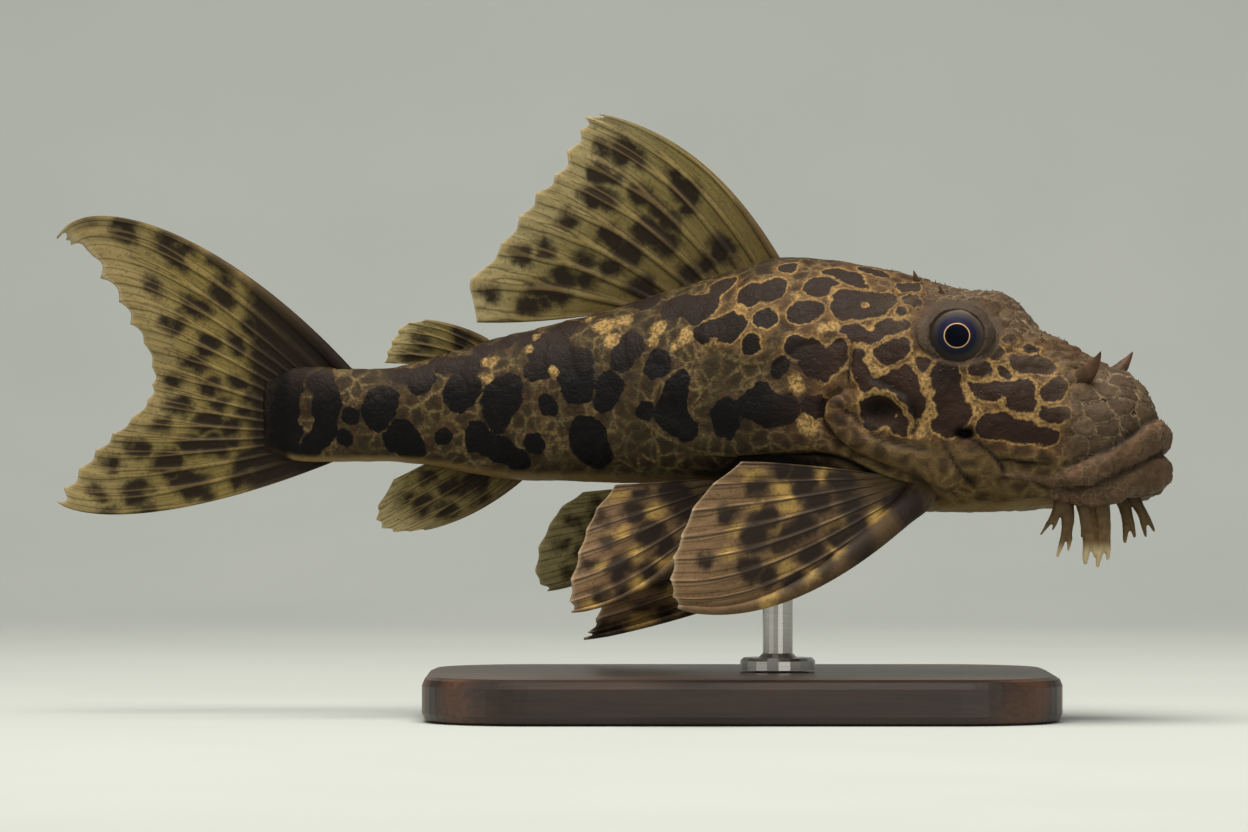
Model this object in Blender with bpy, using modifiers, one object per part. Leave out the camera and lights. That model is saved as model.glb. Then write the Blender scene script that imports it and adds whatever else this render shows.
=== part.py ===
"""A bristlenose pleco as a still, life-size museum model on a plain display stand.

Metres, +Z up. The fish swims towards +X. The origin is the centre of the stand's underside.
The fish is modelled straight, along its spine, and then bent sideways into its pose."""

import math

import bmesh
import bpy
import numpy as np
from mathutils import Matrix

MM = 0.001  # metres in one millimetre
GAP = 0.3 * MM  # between pieces that touch

# The body, in millimetres: place along the spine, height of the back, height of the belly, half width,
# and the share of its height at which it is widest
STATIONS = (
    (-63.0, 45.0, 35.4, 1.0, 0.5),
    (-60.0, 46.5, 34.2, 1.8, 0.5),
    (-54.0, 46.6, 33.9, 3.4, 0.5),
    (-47.0, 46.4, 34.0, 4.5, 0.48),
    (-40.0, 48.2, 33.3, 5.5, 0.46),
    (-32.0, 50.6, 31.8, 7.2, 0.43),
    (-22.0, 53.1, 31.4, 9.4, 0.4),
    (-12.0, 56.0, 31.1, 11.8, 0.37),
    (-3.0, 58.9, 30.7, 13.9, 0.35),
    (4.7, 61.2, 30.0, 15.4, 0.34),
    (13.0, 60.7, 28.9, 16.5, 0.34),
    (21.0, 59.1, 27.9, 16.6, 0.35),
    (28.0, 57.0, 27.4, 15.7, 0.36),
    (34.0, 54.4, 27.5, 14.4, 0.37),
    (39.3, 51.4, 27.9, 12.8, 0.39),
    (44.5, 48.6, 28.7, 10.9, 0.42),
    (48.5, 46.3, 29.7, 9.0, 0.45),
)
SNOUT_REACH = 5.8 * MM  # from the last station to the tip of the snout
SNOUT_HEIGHT = 39.6 * MM
SNOUT_FALL = 1.5  # how soon the top of the snout falls away, 1 for a plain ellipse
BACK_ROUND = 1.95  # exponent of the section above its widest level
BELLY_ROUND = 2.8  # and below it, where the belly is flatter
BODY_SIDES = 44
HEAD_STEP = 1.5 * MM
SNOUT_ROWS = 8

# Scutes: rows of bony plates along trunk and tail, each raised towards its rear edge
SCUTE_FRONT = 17.0 * MM
SCUTE_BACK = -60.0 * MM
SCUTES = 21  # from front to back
SCUTE_SIDES = 4  # sides of the body under one row
SCUTE_ROWS = 5  # on each side
SCUTE_LIFT = 0.4 * MM
SCUTE_STEP = 0.3 * MM
SCUTE_BOW = 0.9 * MM  # how far a rear edge bulges back

# The sideways bend that turns the head towards the viewer, who stands at -Y
BEND_START = -30.0 * MM
BEND_END = 30.0 * MM
BEND_SLOPE = math.tan(math.radians(18.0))

# Where the body is parted, in millimetres along the spine and up: the gill cover's rear edge, and the tail
GILL_EDGE = (
    (12.0, 90.0), (12.0, 58.0), (17.0, 51.5), (18.6, 48.5), (18.4, 43.2), (15.4, 41.6),
    (15.0, 39.4), (18.6, 35.8), (24.0, 33.4), (28.6, 31.4), (33.0, 27.5), (33.0, 10.0),
)
TAIL_CUT = -41.0

# Forms on the head, in millimetres: along, up, their two radii, and how far they rise
HEAD_FORMS = (
    (31.0, 50.0, 8.5, 7.5, 1.4),  # mound round the eye
    (22.6, 41.6, 3.4, 2.2, -1.1),  # hollow behind the cheek
    (27.0, 44.0, 5.0, 4.0, 0.6),  # cheek
    (34.2, 32.6, 3.0, 3.4, 0.7),  # plate under the cheek
    (39.5, 31.6, 3.0, 3.0, -0.8),  # soft skin between that plate and the mouth
    (44.5, 39.5, 7.0, 3.0, 0.5),  # side of the snout
)
BROW = (33.9, 5.7, 9.0, 1.6)  # swollen roof between the eyes: along, its half length, half width, how high
FOLD_LIFT = 1.1 * MM  # swollen rear edge of the gill cover
FOLD_WIDTH = 3.6 * MM
SHOULDER_DROP = 0.6 * MM  # of the shoulder just behind it

# Mouth: each lip is a roll round the snout, in plan a half ellipse
UPPER_LIP = {
    "back": 44.0, "reach": 9.6, "half": 9.4,
    "front_z": 37.5, "back_z": 31.6, "thick": 2.5, "thin": 1.5,
}
LOWER_LIP = {
    "back": 45.0, "reach": 8.2, "half": 7.9,
    "front_z": 32.9, "back_z": 30.0, "thick": 2.9, "thin": 1.4,
}

# Eye
EYE_PLACE = (31.0 * MM, 9.6 * MM, 50.5 * MM)  # along the spine, to the side, height
EYE_RADIUS = 4.2 * MM
EYE_RIM_RADIUS = 4.0 * MM
EYE_RIM_THICK = 1.2 * MM
EYE_RIM_OUT = 1.6 * MM
EYE_TILT = 22.0  # degrees that an eye looks up

# Stand
BASE_LENGTH = 84.0 * MM
BASE_WIDTH = 58.0 * MM
BASE_THICK = 6.0 * MM
BASE_CORNER = 14.0 * MM
BASE_BEVEL = 1.2 * MM
ROD_RADIUS = 2.0 * MM
ROD_PLACE = 5.0 * MM  # ahead of the middle of the base, under the weight of the fish
COLLAR_RADIUS = 5.0 * MM
COLLAR_THICK = 1.6 * MM

MEMBRANE = 0.5 * MM  # least thickness of a fin
RAY = 1.0 * MM  # thickness of a fin at a ray's root


def clear_scene():
    for obj in list(bpy.data.objects):
        bpy.data.objects.remove(obj, do_unlink=True)


def material(name, colour, roughness, metallic=0.0):
    made = bpy.data.materials.new(name)
    made.use_nodes = True
    shader = made.node_tree.nodes["Principled BSDF"]
    shader.inputs["Base Color"].default_value = (*colour, 1.0)
    shader.inputs["Roughness"].default_value = roughness
    shader.inputs["Metallic"].default_value = metallic
    return made


def smoothstep(x):
    x = np.clip(x, 0.0, 1.0)
    return x * x * (3.0 - 2.0 * x)


def through(keys, values, x):
    """A smooth curve through the values, read at x."""
    slopes = np.gradient(values, keys)
    i = int(np.clip(np.searchsorted(keys, x) - 1, 0, len(keys) - 2))
    width = keys[i + 1] - keys[i]
    f = (x - keys[i]) / width
    return (
        (2 * f**3 - 3 * f**2 + 1) * values[i]
        + (f**3 - 2 * f**2 + f) * width * slopes[i]
        + (3 * f**2 - 2 * f**3) * values[i + 1]
        + (f**3 - f**2) * width * slopes[i + 1]
    )


def bend(point):
    """The place in the pose of a point of the straight fish."""
    s, t, z = point
    length = BEND_END - BEND_START

    def run(x):
        u = np.clip((x - BEND_START) / length, 0.0, 1.0)
        return length * (u**3 - u**4 / 2) + max(0.0, x - BEND_END)

    turn = math.atan(BEND_SLOPE * smoothstep((s - BEND_START) / length))
    spine_y = -BEND_SLOPE * (run(s) - run(0.0))
    return (s + t * math.sin(turn), spine_y + t * math.cos(turn), z)


def section(s):
    """Back height, belly height, half width and widest share of the body at a place along the spine."""
    table = np.array(STATIONS)
    top, belly, half, share = (through(table[:, 0], table[:, k], s / MM) for k in (1, 2, 3, 4))
    return top * MM, belly * MM, half * MM, share


def bump(x):
    """1 at 0, falling smoothly to 0 at 1."""
    return max(0.0, 1 - x * x) ** 2


def scute(s, side_index):
    """How high the scutes stand at a place along the spine, for a side counted from the midline."""
    share = (SCUTE_FRONT - s) / (SCUTE_FRONT - SCUTE_BACK) * SCUTES
    if share < -0.01 or share > SCUTES or side_index > SCUTE_SIDES * SCUTE_ROWS:
        return 0.0
    groove = 0.35 if side_index % SCUTE_SIDES == 0 else 1.0
    return SCUTE_LIFT * (share % 1.0) * groove


def gill_distance(s, z):
    """Distance in metres from the gill cover's rear edge, positive on the head."""
    best, ahead = 1.0, 0
    for (s1, z1), (s2, z2) in zip(GILL_EDGE, GILL_EDGE[1:]):
        ds, dz = s2 - s1, z2 - z1
        f = min(1.0, max(0.0, ((s / MM - s1) * ds + (z / MM - z1) * dz) / (ds * ds + dz * dz)))
        best = min(best, math.hypot(s / MM - s1 - f * ds, z / MM - z1 - f * dz) * MM)
        if z2 < z / MM <= z1 and s / MM > s1 + ds * (z / MM - z1) / dz:
            ahead = 1
    return best if ahead else -best


def relief(s, z, t, half, top, belly, side_index, region):
    """How far the skin stands out from the plain section: forms of the head, or scutes behind it."""
    away = gill_distance(s, z)
    flank = smoothstep((abs(t) / half - 0.45) / 0.25)
    rise = 0.0
    if region == "head":
        for place_s, place_z, along, up, lift in HEAD_FORMS:
            x = math.hypot((s / MM - place_s) / along, (z / MM - place_z) / up)
            rise += lift * MM * bump(x) * smoothstep(abs(t) / half * 2.5)
        brow_s, brow_long, brow_wide, brow_high = (x * MM for x in BROW)
        rise += brow_high * bump(t / brow_wide) * bump((s - brow_s) / brow_long) * (z > (top + belly) / 2)
        low = smoothstep((49 * MM - z) / (4 * MM))
        rise += FOLD_LIFT * flank * low * math.exp(-((max(0.0, away) / FOLD_WIDTH) ** 2))
        return rise
    plated = smoothstep((z - belly) / (4 * MM))
    rise = scute(s, side_index) * plated * min(1.0, half / (6 * MM))
    return rise - SHOULDER_DROP * flank * math.exp(-((away / (4 * MM)) ** 2))


def ring(s, top, belly, half, share, region, grow=0.0, bowed=0.0):
    """One cross section of the body, counted round from the fish's left side."""
    middle = belly + share * (top - belly)
    quarter = BODY_SIDES // 4
    points = []
    for k in range(BODY_SIDES):
        angle = 2 * math.pi * k / BODY_SIDES
        across, up = math.cos(angle), math.sin(angle)
        power = 2 / (BACK_ROUND if up > 0 else BELLY_ROUND)
        reach = (top - middle) if up > 0 else (middle - belly)
        t = half * math.copysign(abs(across) ** power, across)
        z = middle + reach * math.copysign(abs(up) ** power, up)
        side_index = min(abs(k - quarter), BODY_SIDES - abs(k - quarter))
        out = np.array((across * reach, up * half))
        out /= np.linalg.norm(out) + 1e-12
        shift = relief(s, z, t, half, top, belly, side_index, region) + grow
        row_place = side_index % SCUTE_SIDES / SCUTE_SIDES
        swept = bowed * math.sin(math.pi * row_place) if side_index < SCUTE_SIDES * SCUTE_ROWS else 0.0
        points.append((s - swept, t + out[0] * shift, z + out[1] * shift))
    return points


def body_rings(region, grow=0.0):
    """Cross sections from the tail to the snout, which closes as a rounded cap."""
    first, last = STATIONS[0][0] * MM, STATIONS[-1][0] * MM
    rings = []
    if region == "head":
        for s in np.linspace(first, 5 * MM, 8)[:-1]:
            rings.append(ring(s, *section(s), region, grow))
        places = np.arange(5 * MM, last + 0.1 * MM, HEAD_STEP)
    else:
        rings.append(ring(first - grow, *section(first), region, grow))
        for k in range(SCUTES, 0, -1):
            s = SCUTE_FRONT + (SCUTE_BACK - SCUTE_FRONT) * k / SCUTES
            bow = SCUTE_BOW * min(1.0, (SCUTES - k) / 3)
            rings.append(ring(s, *section(s), region, grow, bow))
            s += SCUTE_STEP
            rings.append(ring(s, *section(s), region, grow, bow))
        places = np.arange(SCUTE_FRONT + MM, last + 0.1 * MM, 5 * MM)
    for s in places:
        rings.append(ring(s, *section(s), region, grow))
    top, belly, half, share = section(last)
    for k in range(1, SNOUT_ROWS):
        angle = k / SNOUT_ROWS * math.pi / 2
        shrink = math.cos(angle)
        rings.append(
            ring(
                last + (SNOUT_REACH + grow) * math.sin(angle),
                SNOUT_HEIGHT + (top - SNOUT_HEIGHT) * shrink**SNOUT_FALL,
                SNOUT_HEIGHT + (belly - SNOUT_HEIGHT) * shrink,
                half * shrink,
                share,
                region,
                grow * shrink,
            )
        )
    return rings


def put(name, bm):
    """A mesh object from a bmesh, with its faces pointing out."""
    bmesh.ops.recalc_face_normals(bm, faces=bm.faces)
    mesh = bpy.data.meshes.new(name)
    bm.to_mesh(mesh)
    bm.free()
    obj = bpy.data.objects.new(name, mesh)
    bpy.context.scene.collection.objects.link(obj)
    return obj


def loft(name, rings):
    """A closed skin through rings of points."""
    bm = bmesh.new()
    rows = [[bm.verts.new(p) for p in points] for points in rings]
    count = len(rows[0])
    for low, high in zip(rows, rows[1:]):
        for i in range(count):
            j = (i + 1) % count
            bm.faces.new((low[i], low[j], high[j], high[i]))
    bm.faces.new(rows[0][::-1])
    bm.faces.new(rows[-1])
    bmesh.ops.triangulate(bm, faces=bm.faces)
    return put(name, bm)


def as_mesh(obj):
    """The object with its modifiers applied, or its curve made a mesh with welded caps."""
    graph = bpy.context.evaluated_depsgraph_get()
    mesh = bpy.data.meshes.new_from_object(obj.evaluated_get(graph))
    bm = bmesh.new()
    bm.from_mesh(mesh)
    bmesh.ops.remove_doubles(bm, verts=bm.verts, dist=0.001 * MM)
    bmesh.ops.triangulate(bm, faces=bm.faces)
    name, matrix = obj.name, obj.matrix_world.copy()
    bpy.data.objects.remove(obj)
    made = put(name, bm)
    made.data.transform(matrix)
    return made


def roll(name, points, radii, sides=2):
    """A tapered round tube along the points, as a mesh."""
    curve = bpy.data.curves.new(name, "CURVE")
    curve.dimensions = "3D"
    curve.bevel_depth = 1.0
    curve.bevel_resolution = sides
    curve.use_fill_caps = True
    spline = curve.splines.new("POLY")
    spline.points.add(len(points) - 1)
    for spot, point, radius in zip(spline.points, points, radii):
        spot.co = (*point, 1.0)
        spot.radius = radius
    obj = bpy.data.objects.new(name, curve)
    bpy.context.scene.collection.objects.link(obj)
    bpy.context.view_layer.update()
    return as_mesh(obj)


def boolean(target, others, operation):
    """The target joined with the others, cut by them or kept inside them. The others are used up."""
    group = bpy.data.collections.new("cutters")
    bpy.context.scene.collection.children.link(group)
    for other in others:
        group.objects.link(other)
        other.hide_render = True
        other.display_type = "WIRE"
    step = target.modifiers.new(operation.lower(), "BOOLEAN")
    step.operand_type = "COLLECTION"
    step.collection = group
    step.operation = operation
    step.solver = "MANIFOLD"
    bpy.context.view_layer.update()
    made = as_mesh(target)
    for other in others:
        bpy.data.objects.remove(other)
    bpy.data.collections.remove(group)
    return largest(made)


def largest(obj):
    """Keeps only the object's largest closed surface."""
    bm = bmesh.new()
    bm.from_mesh(obj.data)
    left = set(bm.verts)
    best = set()
    while left:
        found, edge = set(), [left.pop()]
        found.update(edge)
        while edge:
            vert = edge.pop()
            for link in vert.link_edges:
                other = link.other_vert(vert)
                if other not in found:
                    found.add(other)
                    edge.append(other)
        left -= found
        if len(found) > len(best):
            best = found
    bmesh.ops.delete(bm, geom=[v for v in bm.verts if v not in best], context="VERTS")
    bm.to_mesh(obj.data)
    bm.free()
    return obj


def copy_of(obj, name):
    made = bpy.data.objects.new(name, obj.data.copy())
    bpy.context.scene.collection.objects.link(made)
    return made


def lip(name, size, grow):
    """A roll round the snout from one corner of the mouth to the other."""
    points, radii = [], []
    for k in range(-8, 9):
        turn = k / 8 * math.radians(86)
        front = math.cos(turn)
        points.append(
            (
                (size["back"] + size["reach"] * front) * MM,
                size["half"] * math.sin(turn) * MM,
                (size["back_z"] + (size["front_z"] - size["back_z"]) * front**2) * MM,
            )
        )
        radii.append((size["thin"] + (size["thick"] - size["thin"]) * front**0.7) * MM + grow)
    return roll(name, points, radii, sides=3)


def eye_rim(name, side, grow):
    """The raised ring of skin round an eye."""
    s, t, z = EYE_PLACE
    tilt = math.radians(EYE_TILT)
    bpy.ops.mesh.primitive_torus_add(
        major_radius=EYE_RIM_RADIUS,
        minor_radius=EYE_RIM_THICK + grow,
        major_segments=20,
        minor_segments=8,
        location=(s, side * (t + EYE_RIM_OUT * math.cos(tilt)), z + EYE_RIM_OUT * math.sin(tilt)),
        rotation=(math.radians(90) + side * tilt, 0, 0),
    )
    rim = bpy.context.object
    rim.name = name
    return as_mesh(rim)


def flesh(name, region, grow=0.0):
    """The whole fish without its fins, with the forms of one region, larger all round by grow."""
    body = loft(name, body_rings(region, grow))
    if region != "head":
        return body
    parts = [lip("upper_lip", UPPER_LIP, grow), lip("lower_lip", LOWER_LIP, grow)]
    for side in (-1, 1):
        parts.append(eye_rim("eye_rim", side, grow))
    return boolean(body, parts, "UNION")


def block(name, outline):
    """A thick slice of space whose outline is given in millimetres along the spine and up."""
    bm = bmesh.new()
    walls = []
    for t in (-60 * MM, 60 * MM):
        walls.append([bm.verts.new((s * MM, t, z * MM)) for s, z in outline])
    count = len(outline)
    for i in range(count):
        j = (i + 1) % count
        bm.faces.new((walls[0][i], walls[0][j], walls[1][j], walls[1][i]))
    bm.faces.new(walls[0][::-1])
    bm.faces.new(walls[1])
    bmesh.ops.triangulate(bm, faces=bm.faces)
    return put(name, bm)


def gill_line(shift):
    """The gill cover's rear edge moved forwards by shift, in millimetres."""
    return [(s + shift, z) for s, z in GILL_EDGE]


def sheet(name, fin):
    """A fin made solid from a grid: rows run from the root to the tips, with two columns for each ray."""
    rays, rows = fin["rays"], fin["rows"]
    columns = 2 * rays - 1
    bm = bmesh.new()
    bmesh.ops.create_grid(bm, x_segments=columns - 1, y_segments=rows - 1, size=1.0)
    keys = np.array(fin["keys"])
    layer = bm.verts.layers.deform.verify()
    for vert in bm.verts:
        column = round((vert.co.x + 1) / 2 * (columns - 1))
        row = round((vert.co.y + 1) / 2 * (rows - 1))
        v = column / (columns - 1)
        u = (row - 1) / (rows - 2)
        on_ray = column % 2 == 0
        notch = 0.0 if on_ray else fin["notch"]
        root_s, root_z, tip_s, tip_z, bow = (through(keys[:, 0], keys[:, k], v) for k in range(1, 6))
        s, z = along_ray(root_s, root_z, tip_s, tip_z, bow, fin, u * (1 - notch))
        vert.co = place(fin, s, z)
        thick = (fin["spine"] if column == 0 else RAY) if on_ray else MEMBRANE
        fade = max(0.0, u) ** 1.5
        vert[layer][0] = (thick + (MEMBRANE - thick) * fade) / fin["spine"]
    bmesh.ops.triangulate(bm, faces=bm.faces)
    obj = put(name, bm)
    obj.vertex_groups.new(name="thickness")
    solid = obj.modifiers.new("thickness", "SOLIDIFY")
    solid.thickness = fin["spine"]
    solid.offset = 0.0
    solid.vertex_group = "thickness"
    bpy.context.view_layer.update()
    return as_mesh(obj)


def along_ray(root_s, root_z, tip_s, tip_z, bow, fin, u):
    """A point at share u of a ray, bowed forwards by a share of its length, or near its tip in a hooked fin.
    Below the root, where u is negative, all the rays run in the fin's sink direction."""
    if u < 0:
        return root_s + fin["sink"][0], root_z + fin["sink"][1]
    ahead_s, ahead_z = tip_s - root_s, tip_z - root_z
    if fin.get("hooked"):
        lift = 3 * u * math.sqrt(1 - u) * bow
    else:
        lift = 4 * u * (1 - u) * (0.85 + 0.4 * u) * bow
    return root_s + ahead_s * u + ahead_z * lift, root_z + ahead_z * u - ahead_s * lift


def place(fin, s, z):
    """Where a point of a fin lies: its surface leans out, the more the farther back or down from the root."""
    side, root_s, root_t, root_z, lean_back, lean_down, cup = fin["lean"]
    back, fall = root_s - s, root_z - z
    t = root_t + lean_back * back + lean_down * fall + cup * back * fall
    return (s * MM, side * t * MM, z * MM)


# Fins, in millimetres. Each key is: share across the fin, root along and up, tip along and up, bow forwards.
# The lean is: side, root along, to the side and up, then how far it moves out for each millimetre back
# or down.
UPRIGHT = (1, 0.0, 0.0, 0.0, 0.0, 0.0, 0.0)
DORSAL = {
    "keys": (
        (0.0, 4.8, 61.1, -18.7, 80.4, 0.105),
        (0.1, 2.4, 60.6, -20.6, 80.2, 0.09),
        (0.25, -0.7, 59.6, -22.1, 77.9, 0.08),
        (0.4, -3.8, 58.6, -24.1, 73.5, 0.06),
        (0.55, -7.0, 57.6, -27.1, 70.0, 0.05),
        (0.7, -10.4, 56.4, -30.5, 65.8, 0.04),
        (0.82, -13.4, 55.5, -33.4, 61.5, 0.03),
        (0.92, -16.3, 54.5, -36.7, 57.0, 0.02),
        (1.0, -19.8, 53.5, -35.4, 52.6, -0.02),
    ),
    "rays": 10, "rows": 10, "sink": (1.6, -3.0), "notch": 0.05, "spine": 1.7 * MM, "lean": UPRIGHT,
}
ADIPOSE = {
    "keys": (
        (0.0, -34.0, 50.1, -42.2, 52.9, 0.05),
        (0.3, -36.2, 49.5, -45.2, 52.3, 0.05),
        (0.6, -38.5, 48.8, -46.6, 50.2, 0.03),
        (1.0, -43.4, 47.0, -47.6, 47.2, 0.0),
    ),
    "rays": 5, "rows": 6, "sink": (1.5, -2.0), "notch": 0.06, "spine": 1.3 * MM, "lean": UPRIGHT,
}
ANAL = {
    "keys": (
        (0.0, -29.4, 31.8, -42.2, 24.9, -0.06),
        (0.3, -32.5, 32.0, -46.0, 24.5, -0.03),
        (0.6, -36.1, 32.6, -48.7, 25.6, 0.0),
        (0.85, -39.4, 33.2, -48.3, 28.4, 0.0),
        (1.0, -42.1, 33.7, -46.3, 31.6, 0.0),
    ),
    "rays": 6, "rows": 7, "sink": (1.0, 2.5), "notch": 0.05, "spine": 1.4 * MM, "lean": UPRIGHT,
}
CAUDAL = {
    "keys": (
        (0.0, -52.4, 45.9, -91.3, 63.9, 0.138),
        (0.04, -54.7, 45.9, -90.6, 63.5, 0.13),
        (0.08, -56.9, 45.8, -89.3, 62.9, 0.11),
        (0.16, -58.4, 45.2, -86.7, 60.2, 0.08),
        (0.28, -60.0, 43.9, -82.8, 54.5, 0.06),
        (0.4, -61.0, 42.4, -79.9, 49.7, 0.03),
        (0.5, -61.3, 40.7, -78.6, 45.4, 0.0),
        (0.6, -61.3, 39.0, -79.4, 42.5, -0.01),
        (0.72, -61.0, 37.4, -83.4, 38.2, -0.02),
        (0.84, -60.0, 36.0, -87.7, 34.5, -0.04),
        (0.93, -57.5, 35.0, -90.8, 31.3, -0.065),
        (1.0, -52.8, 34.6, -92.0, 29.9, -0.093),
    ),
    "rays": 15, "rows": 11, "sink": (6.0, 0.0), "notch": 0.03, "spine": 1.5 * MM, "lean": UPRIGHT,
    "hooked": True,
}
PECTORAL_RIGHT = {
    "keys": (
        (0.0, 26.8, 29.5, -4.0, 15.6, -0.145),
        (0.2, 26.0, 30.2, -5.4, 17.6, -0.1),
        (0.4, 25.3, 30.7, -4.9, 21.4, -0.07),
        (0.6, 24.5, 31.2, -3.9, 25.4, -0.03),
        (0.8, 23.8, 31.7, -0.7, 30.3, 0.0),
        (1.0, 23.0, 32.3, 4.3, 34.1, 0.02),
    ),
    "rays": 8, "rows": 10, "sink": (1.0, 3.0), "notch": 0.03, "spine": 2.4 * MM,
    "lean": (-1, 25.1, 13.0, 31.1, 0.6, 0.3, 0.0),
}
PECTORAL_LEFT = {
    "keys": (
        (0.0, 21.6, 30.4, -21.5, 9.4, -0.05),
        (0.2, 20.8, 30.8, -20.5, 11.0, -0.03),
        (0.5, 19.9, 31.4, -19.0, 16.4, 0.0),
        (0.8, 19.0, 32.0, -14.6, 23.2, 0.04),
        (1.0, 18.4, 32.6, -9.7, 28.7, 0.04),
    ),
    "rays": 8, "rows": 10, "sink": (1.0, 3.0), "notch": 0.03, "spine": 2.4 * MM,
    "lean": (1, 25.1, 13.0, 31.1, 0.22, 0.2, 0.0),
}
PELVIC_RIGHT = {
    "keys": (
        (0.0, 1.4, 30.1, -22.1, 14.4, -0.1),
        (0.22, 0.9, 30.3, -22.5, 16.5, -0.06),
        (0.45, 0.3, 30.7, -21.5, 21.2, -0.03),
        (0.7, -0.2, 31.1, -19.9, 25.9, 0.0),
        (1.0, -1.4, 31.9, -16.4, 31.0, 0.0),
    ),
    "rays": 6, "rows": 8, "sink": (1.0, 3.0), "notch": 0.05, "spine": 1.6 * MM,
    "lean": (-1, 1.0, 7.5, 31.2, 0.2, 0.3, 0.0),
}
PELVIC_LEFT = {
    "keys": (
        (0.0, -1.0, 30.1, -25.9, 16.4, -0.06),
        (0.25, -1.5, 30.4, -27.5, 18.0, -0.04),
        (0.5, -2.1, 30.7, -26.9, 22.5, -0.02),
        (0.75, -2.7, 31.0, -24.9, 26.8, 0.0),
        (1.0, -3.6, 31.5, -21.4, 29.8, 0.0),
    ),
    "rays": 6, "rows": 8, "sink": (1.0, 3.0), "notch": 0.05, "spine": 1.6 * MM,
    "lean": (1, 1.0, 7.0, 31.2, 0.14, 0.2, 0.0),
}
FINS = {
    "dorsal_fin": DORSAL,
    "adipose_fin": ADIPOSE,
    "anal_fin": ANAL,
    "caudal_fin": CAUDAL,
    "pectoral_fin_right": PECTORAL_RIGHT,
    "pectoral_fin_left": PECTORAL_LEFT,
    "pelvic_fin_right": PELVIC_RIGHT,
    "pelvic_fin_left": PELVIC_LEFT,
}

# Feelers, in millimetres: root along, to the side and up, then each branch's tip
SNOUT_HORNS = {
    "snout_horn_right": ((45.6, -5.9, 44.6), (49.0, -7.9, 48.5)),
    "snout_horn_left": ((45.9, 5.9, 44.6), (49.4, 7.9, 48.6)),
}
CHIN_FEELERS = {
    "chin_feelers_right": (
        ((46.6, -6.0, 30.4), (46.9, -6.4, 20.8), 1.7),
        ((47.6, -6.0, 30.4), (49.0, -6.0, 20.4), 1.7),
    ),
    "chin_feelers_right_rear": (
        ((43.6, -6.4, 30.4), (41.9, -7.6, 24.6), 1.1),
        ((44.0, -6.4, 30.4), (43.9, -6.9, 21.7), 1.3),
    ),
    "chin_feelers_left": (
        ((48.8, 4.0, 30.4), (49.9, 4.4, 23.4), 1.4),
        ((48.8, 4.0, 30.4), (52.7, 4.0, 24.2), 1.3),
    ),
    "chin_feelers_left_rear": (
        ((45.0, 6.0, 30.4), (43.4, 7.4, 23.6), 1.2),
        ((45.0, 6.0, 30.4), (46.2, 7.0, 22.8), 1.1),
    ),
}


def feeler(name, root, tip, thick):
    """One fleshy branch, tapering from its root to a blunt tip and bowed a little forward."""
    count = 6
    points, radii = [], []
    for k in range(count):
        f = k / (count - 1)
        bow = 0.5 * math.sin(math.pi * f)
        points.append([(a + (b - a) * f) * MM for a, b in zip(root, tip)])
        points[-1][0] += bow * MM
        radii.append(thick * (1 - 0.72 * f) * MM)
    return roll(name, points, radii)


def finish(obj, name, look, bent=True):
    """Names the piece, bends it into the pose and gives it its material."""
    if bent:
        for vert in obj.data.vertices:
            vert.co = bend(vert.co)
    obj.name = name
    obj.data.name = name
    obj.data.materials.clear()
    obj.data.materials.append(look)
    obj.data.shade_smooth()
    obj.data.set_sharp_from_angle(angle=math.radians(40))
    for group in list(obj.users_collection):
        group.objects.unlink(obj)
    bpy.data.collections["bristlenose_pleco"].objects.link(obj)
    return obj


def make_body(skin):
    s, t, z = EYE_PLACE
    sockets = []
    for side in (-1, 1):
        bpy.ops.mesh.primitive_uv_sphere_add(
            radius=EYE_RADIUS + GAP, segments=20, ring_count=12, location=(s, side * t, z)
        )
        sockets.append(as_mesh(bpy.context.object))
    part_gap = GAP / MM
    ahead = block("ahead", [(90.0, 90.0), *gill_line(part_gap * 1.3), (90.0, 10.0)])
    middle = block("middle", [(TAIL_CUT + part_gap, 90.0), *gill_line(0.0), (TAIL_CUT + part_gap, 10.0)])
    behind = block("behind", [(-90.0, 90.0), (TAIL_CUT, 90.0), (TAIL_CUT, 10.0), (-90.0, 10.0)])
    head = boolean(flesh("head", "head"), [ahead], "INTERSECT")
    finish(boolean(head, sockets, "DIFFERENCE"), "head", skin)
    trunk = flesh("trunk", "trunk")
    tail = copy_of(trunk, "tail_stalk")
    finish(boolean(trunk, [middle], "INTERSECT"), "trunk", skin)
    finish(boolean(tail, [behind], "INTERSECT"), "tail_stalk", skin)


def room_for_body():
    """What fins, feelers and the rod keep clear of: the flesh of head and trunk, larger by the gap."""
    head = flesh("head_room", "head", GAP)
    ahead = block("ahead", [(90.0, 90.0), *gill_line(0.0), (90.0, 10.0)])
    return boolean(head, [ahead], "INTERSECT"), flesh("trunk_room", "trunk", GAP)


def make_eyes(look):
    s, t, z = EYE_PLACE
    for side, name in ((-1, "eye_right"), (1, "eye_left")):
        bpy.ops.mesh.primitive_uv_sphere_add(
            radius=EYE_RADIUS, segments=20, ring_count=12, location=(s, side * t, z)
        )
        finish(as_mesh(bpy.context.object), name, look)


def clear_of(obj, room):
    """The object without what would run into the body."""
    for solid in room:
        obj = boolean(obj, [copy_of(solid, "cutter")], "DIFFERENCE")
    return obj


def make_fins(look, room):
    for name, fin in FINS.items():
        finish(clear_of(sheet(name, fin), room), name, look)


def make_feelers(look, room):
    for name, (root, tip) in SNOUT_HORNS.items():
        finish(clear_of(feeler(name, root, tip, 1.4), room), name, look)
    for name, branches in CHIN_FEELERS.items():
        stems = [feeler(name, *branch) for branch in branches]
        finish(clear_of(boolean(stems[0], stems[1:], "UNION"), room), name, look)


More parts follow.
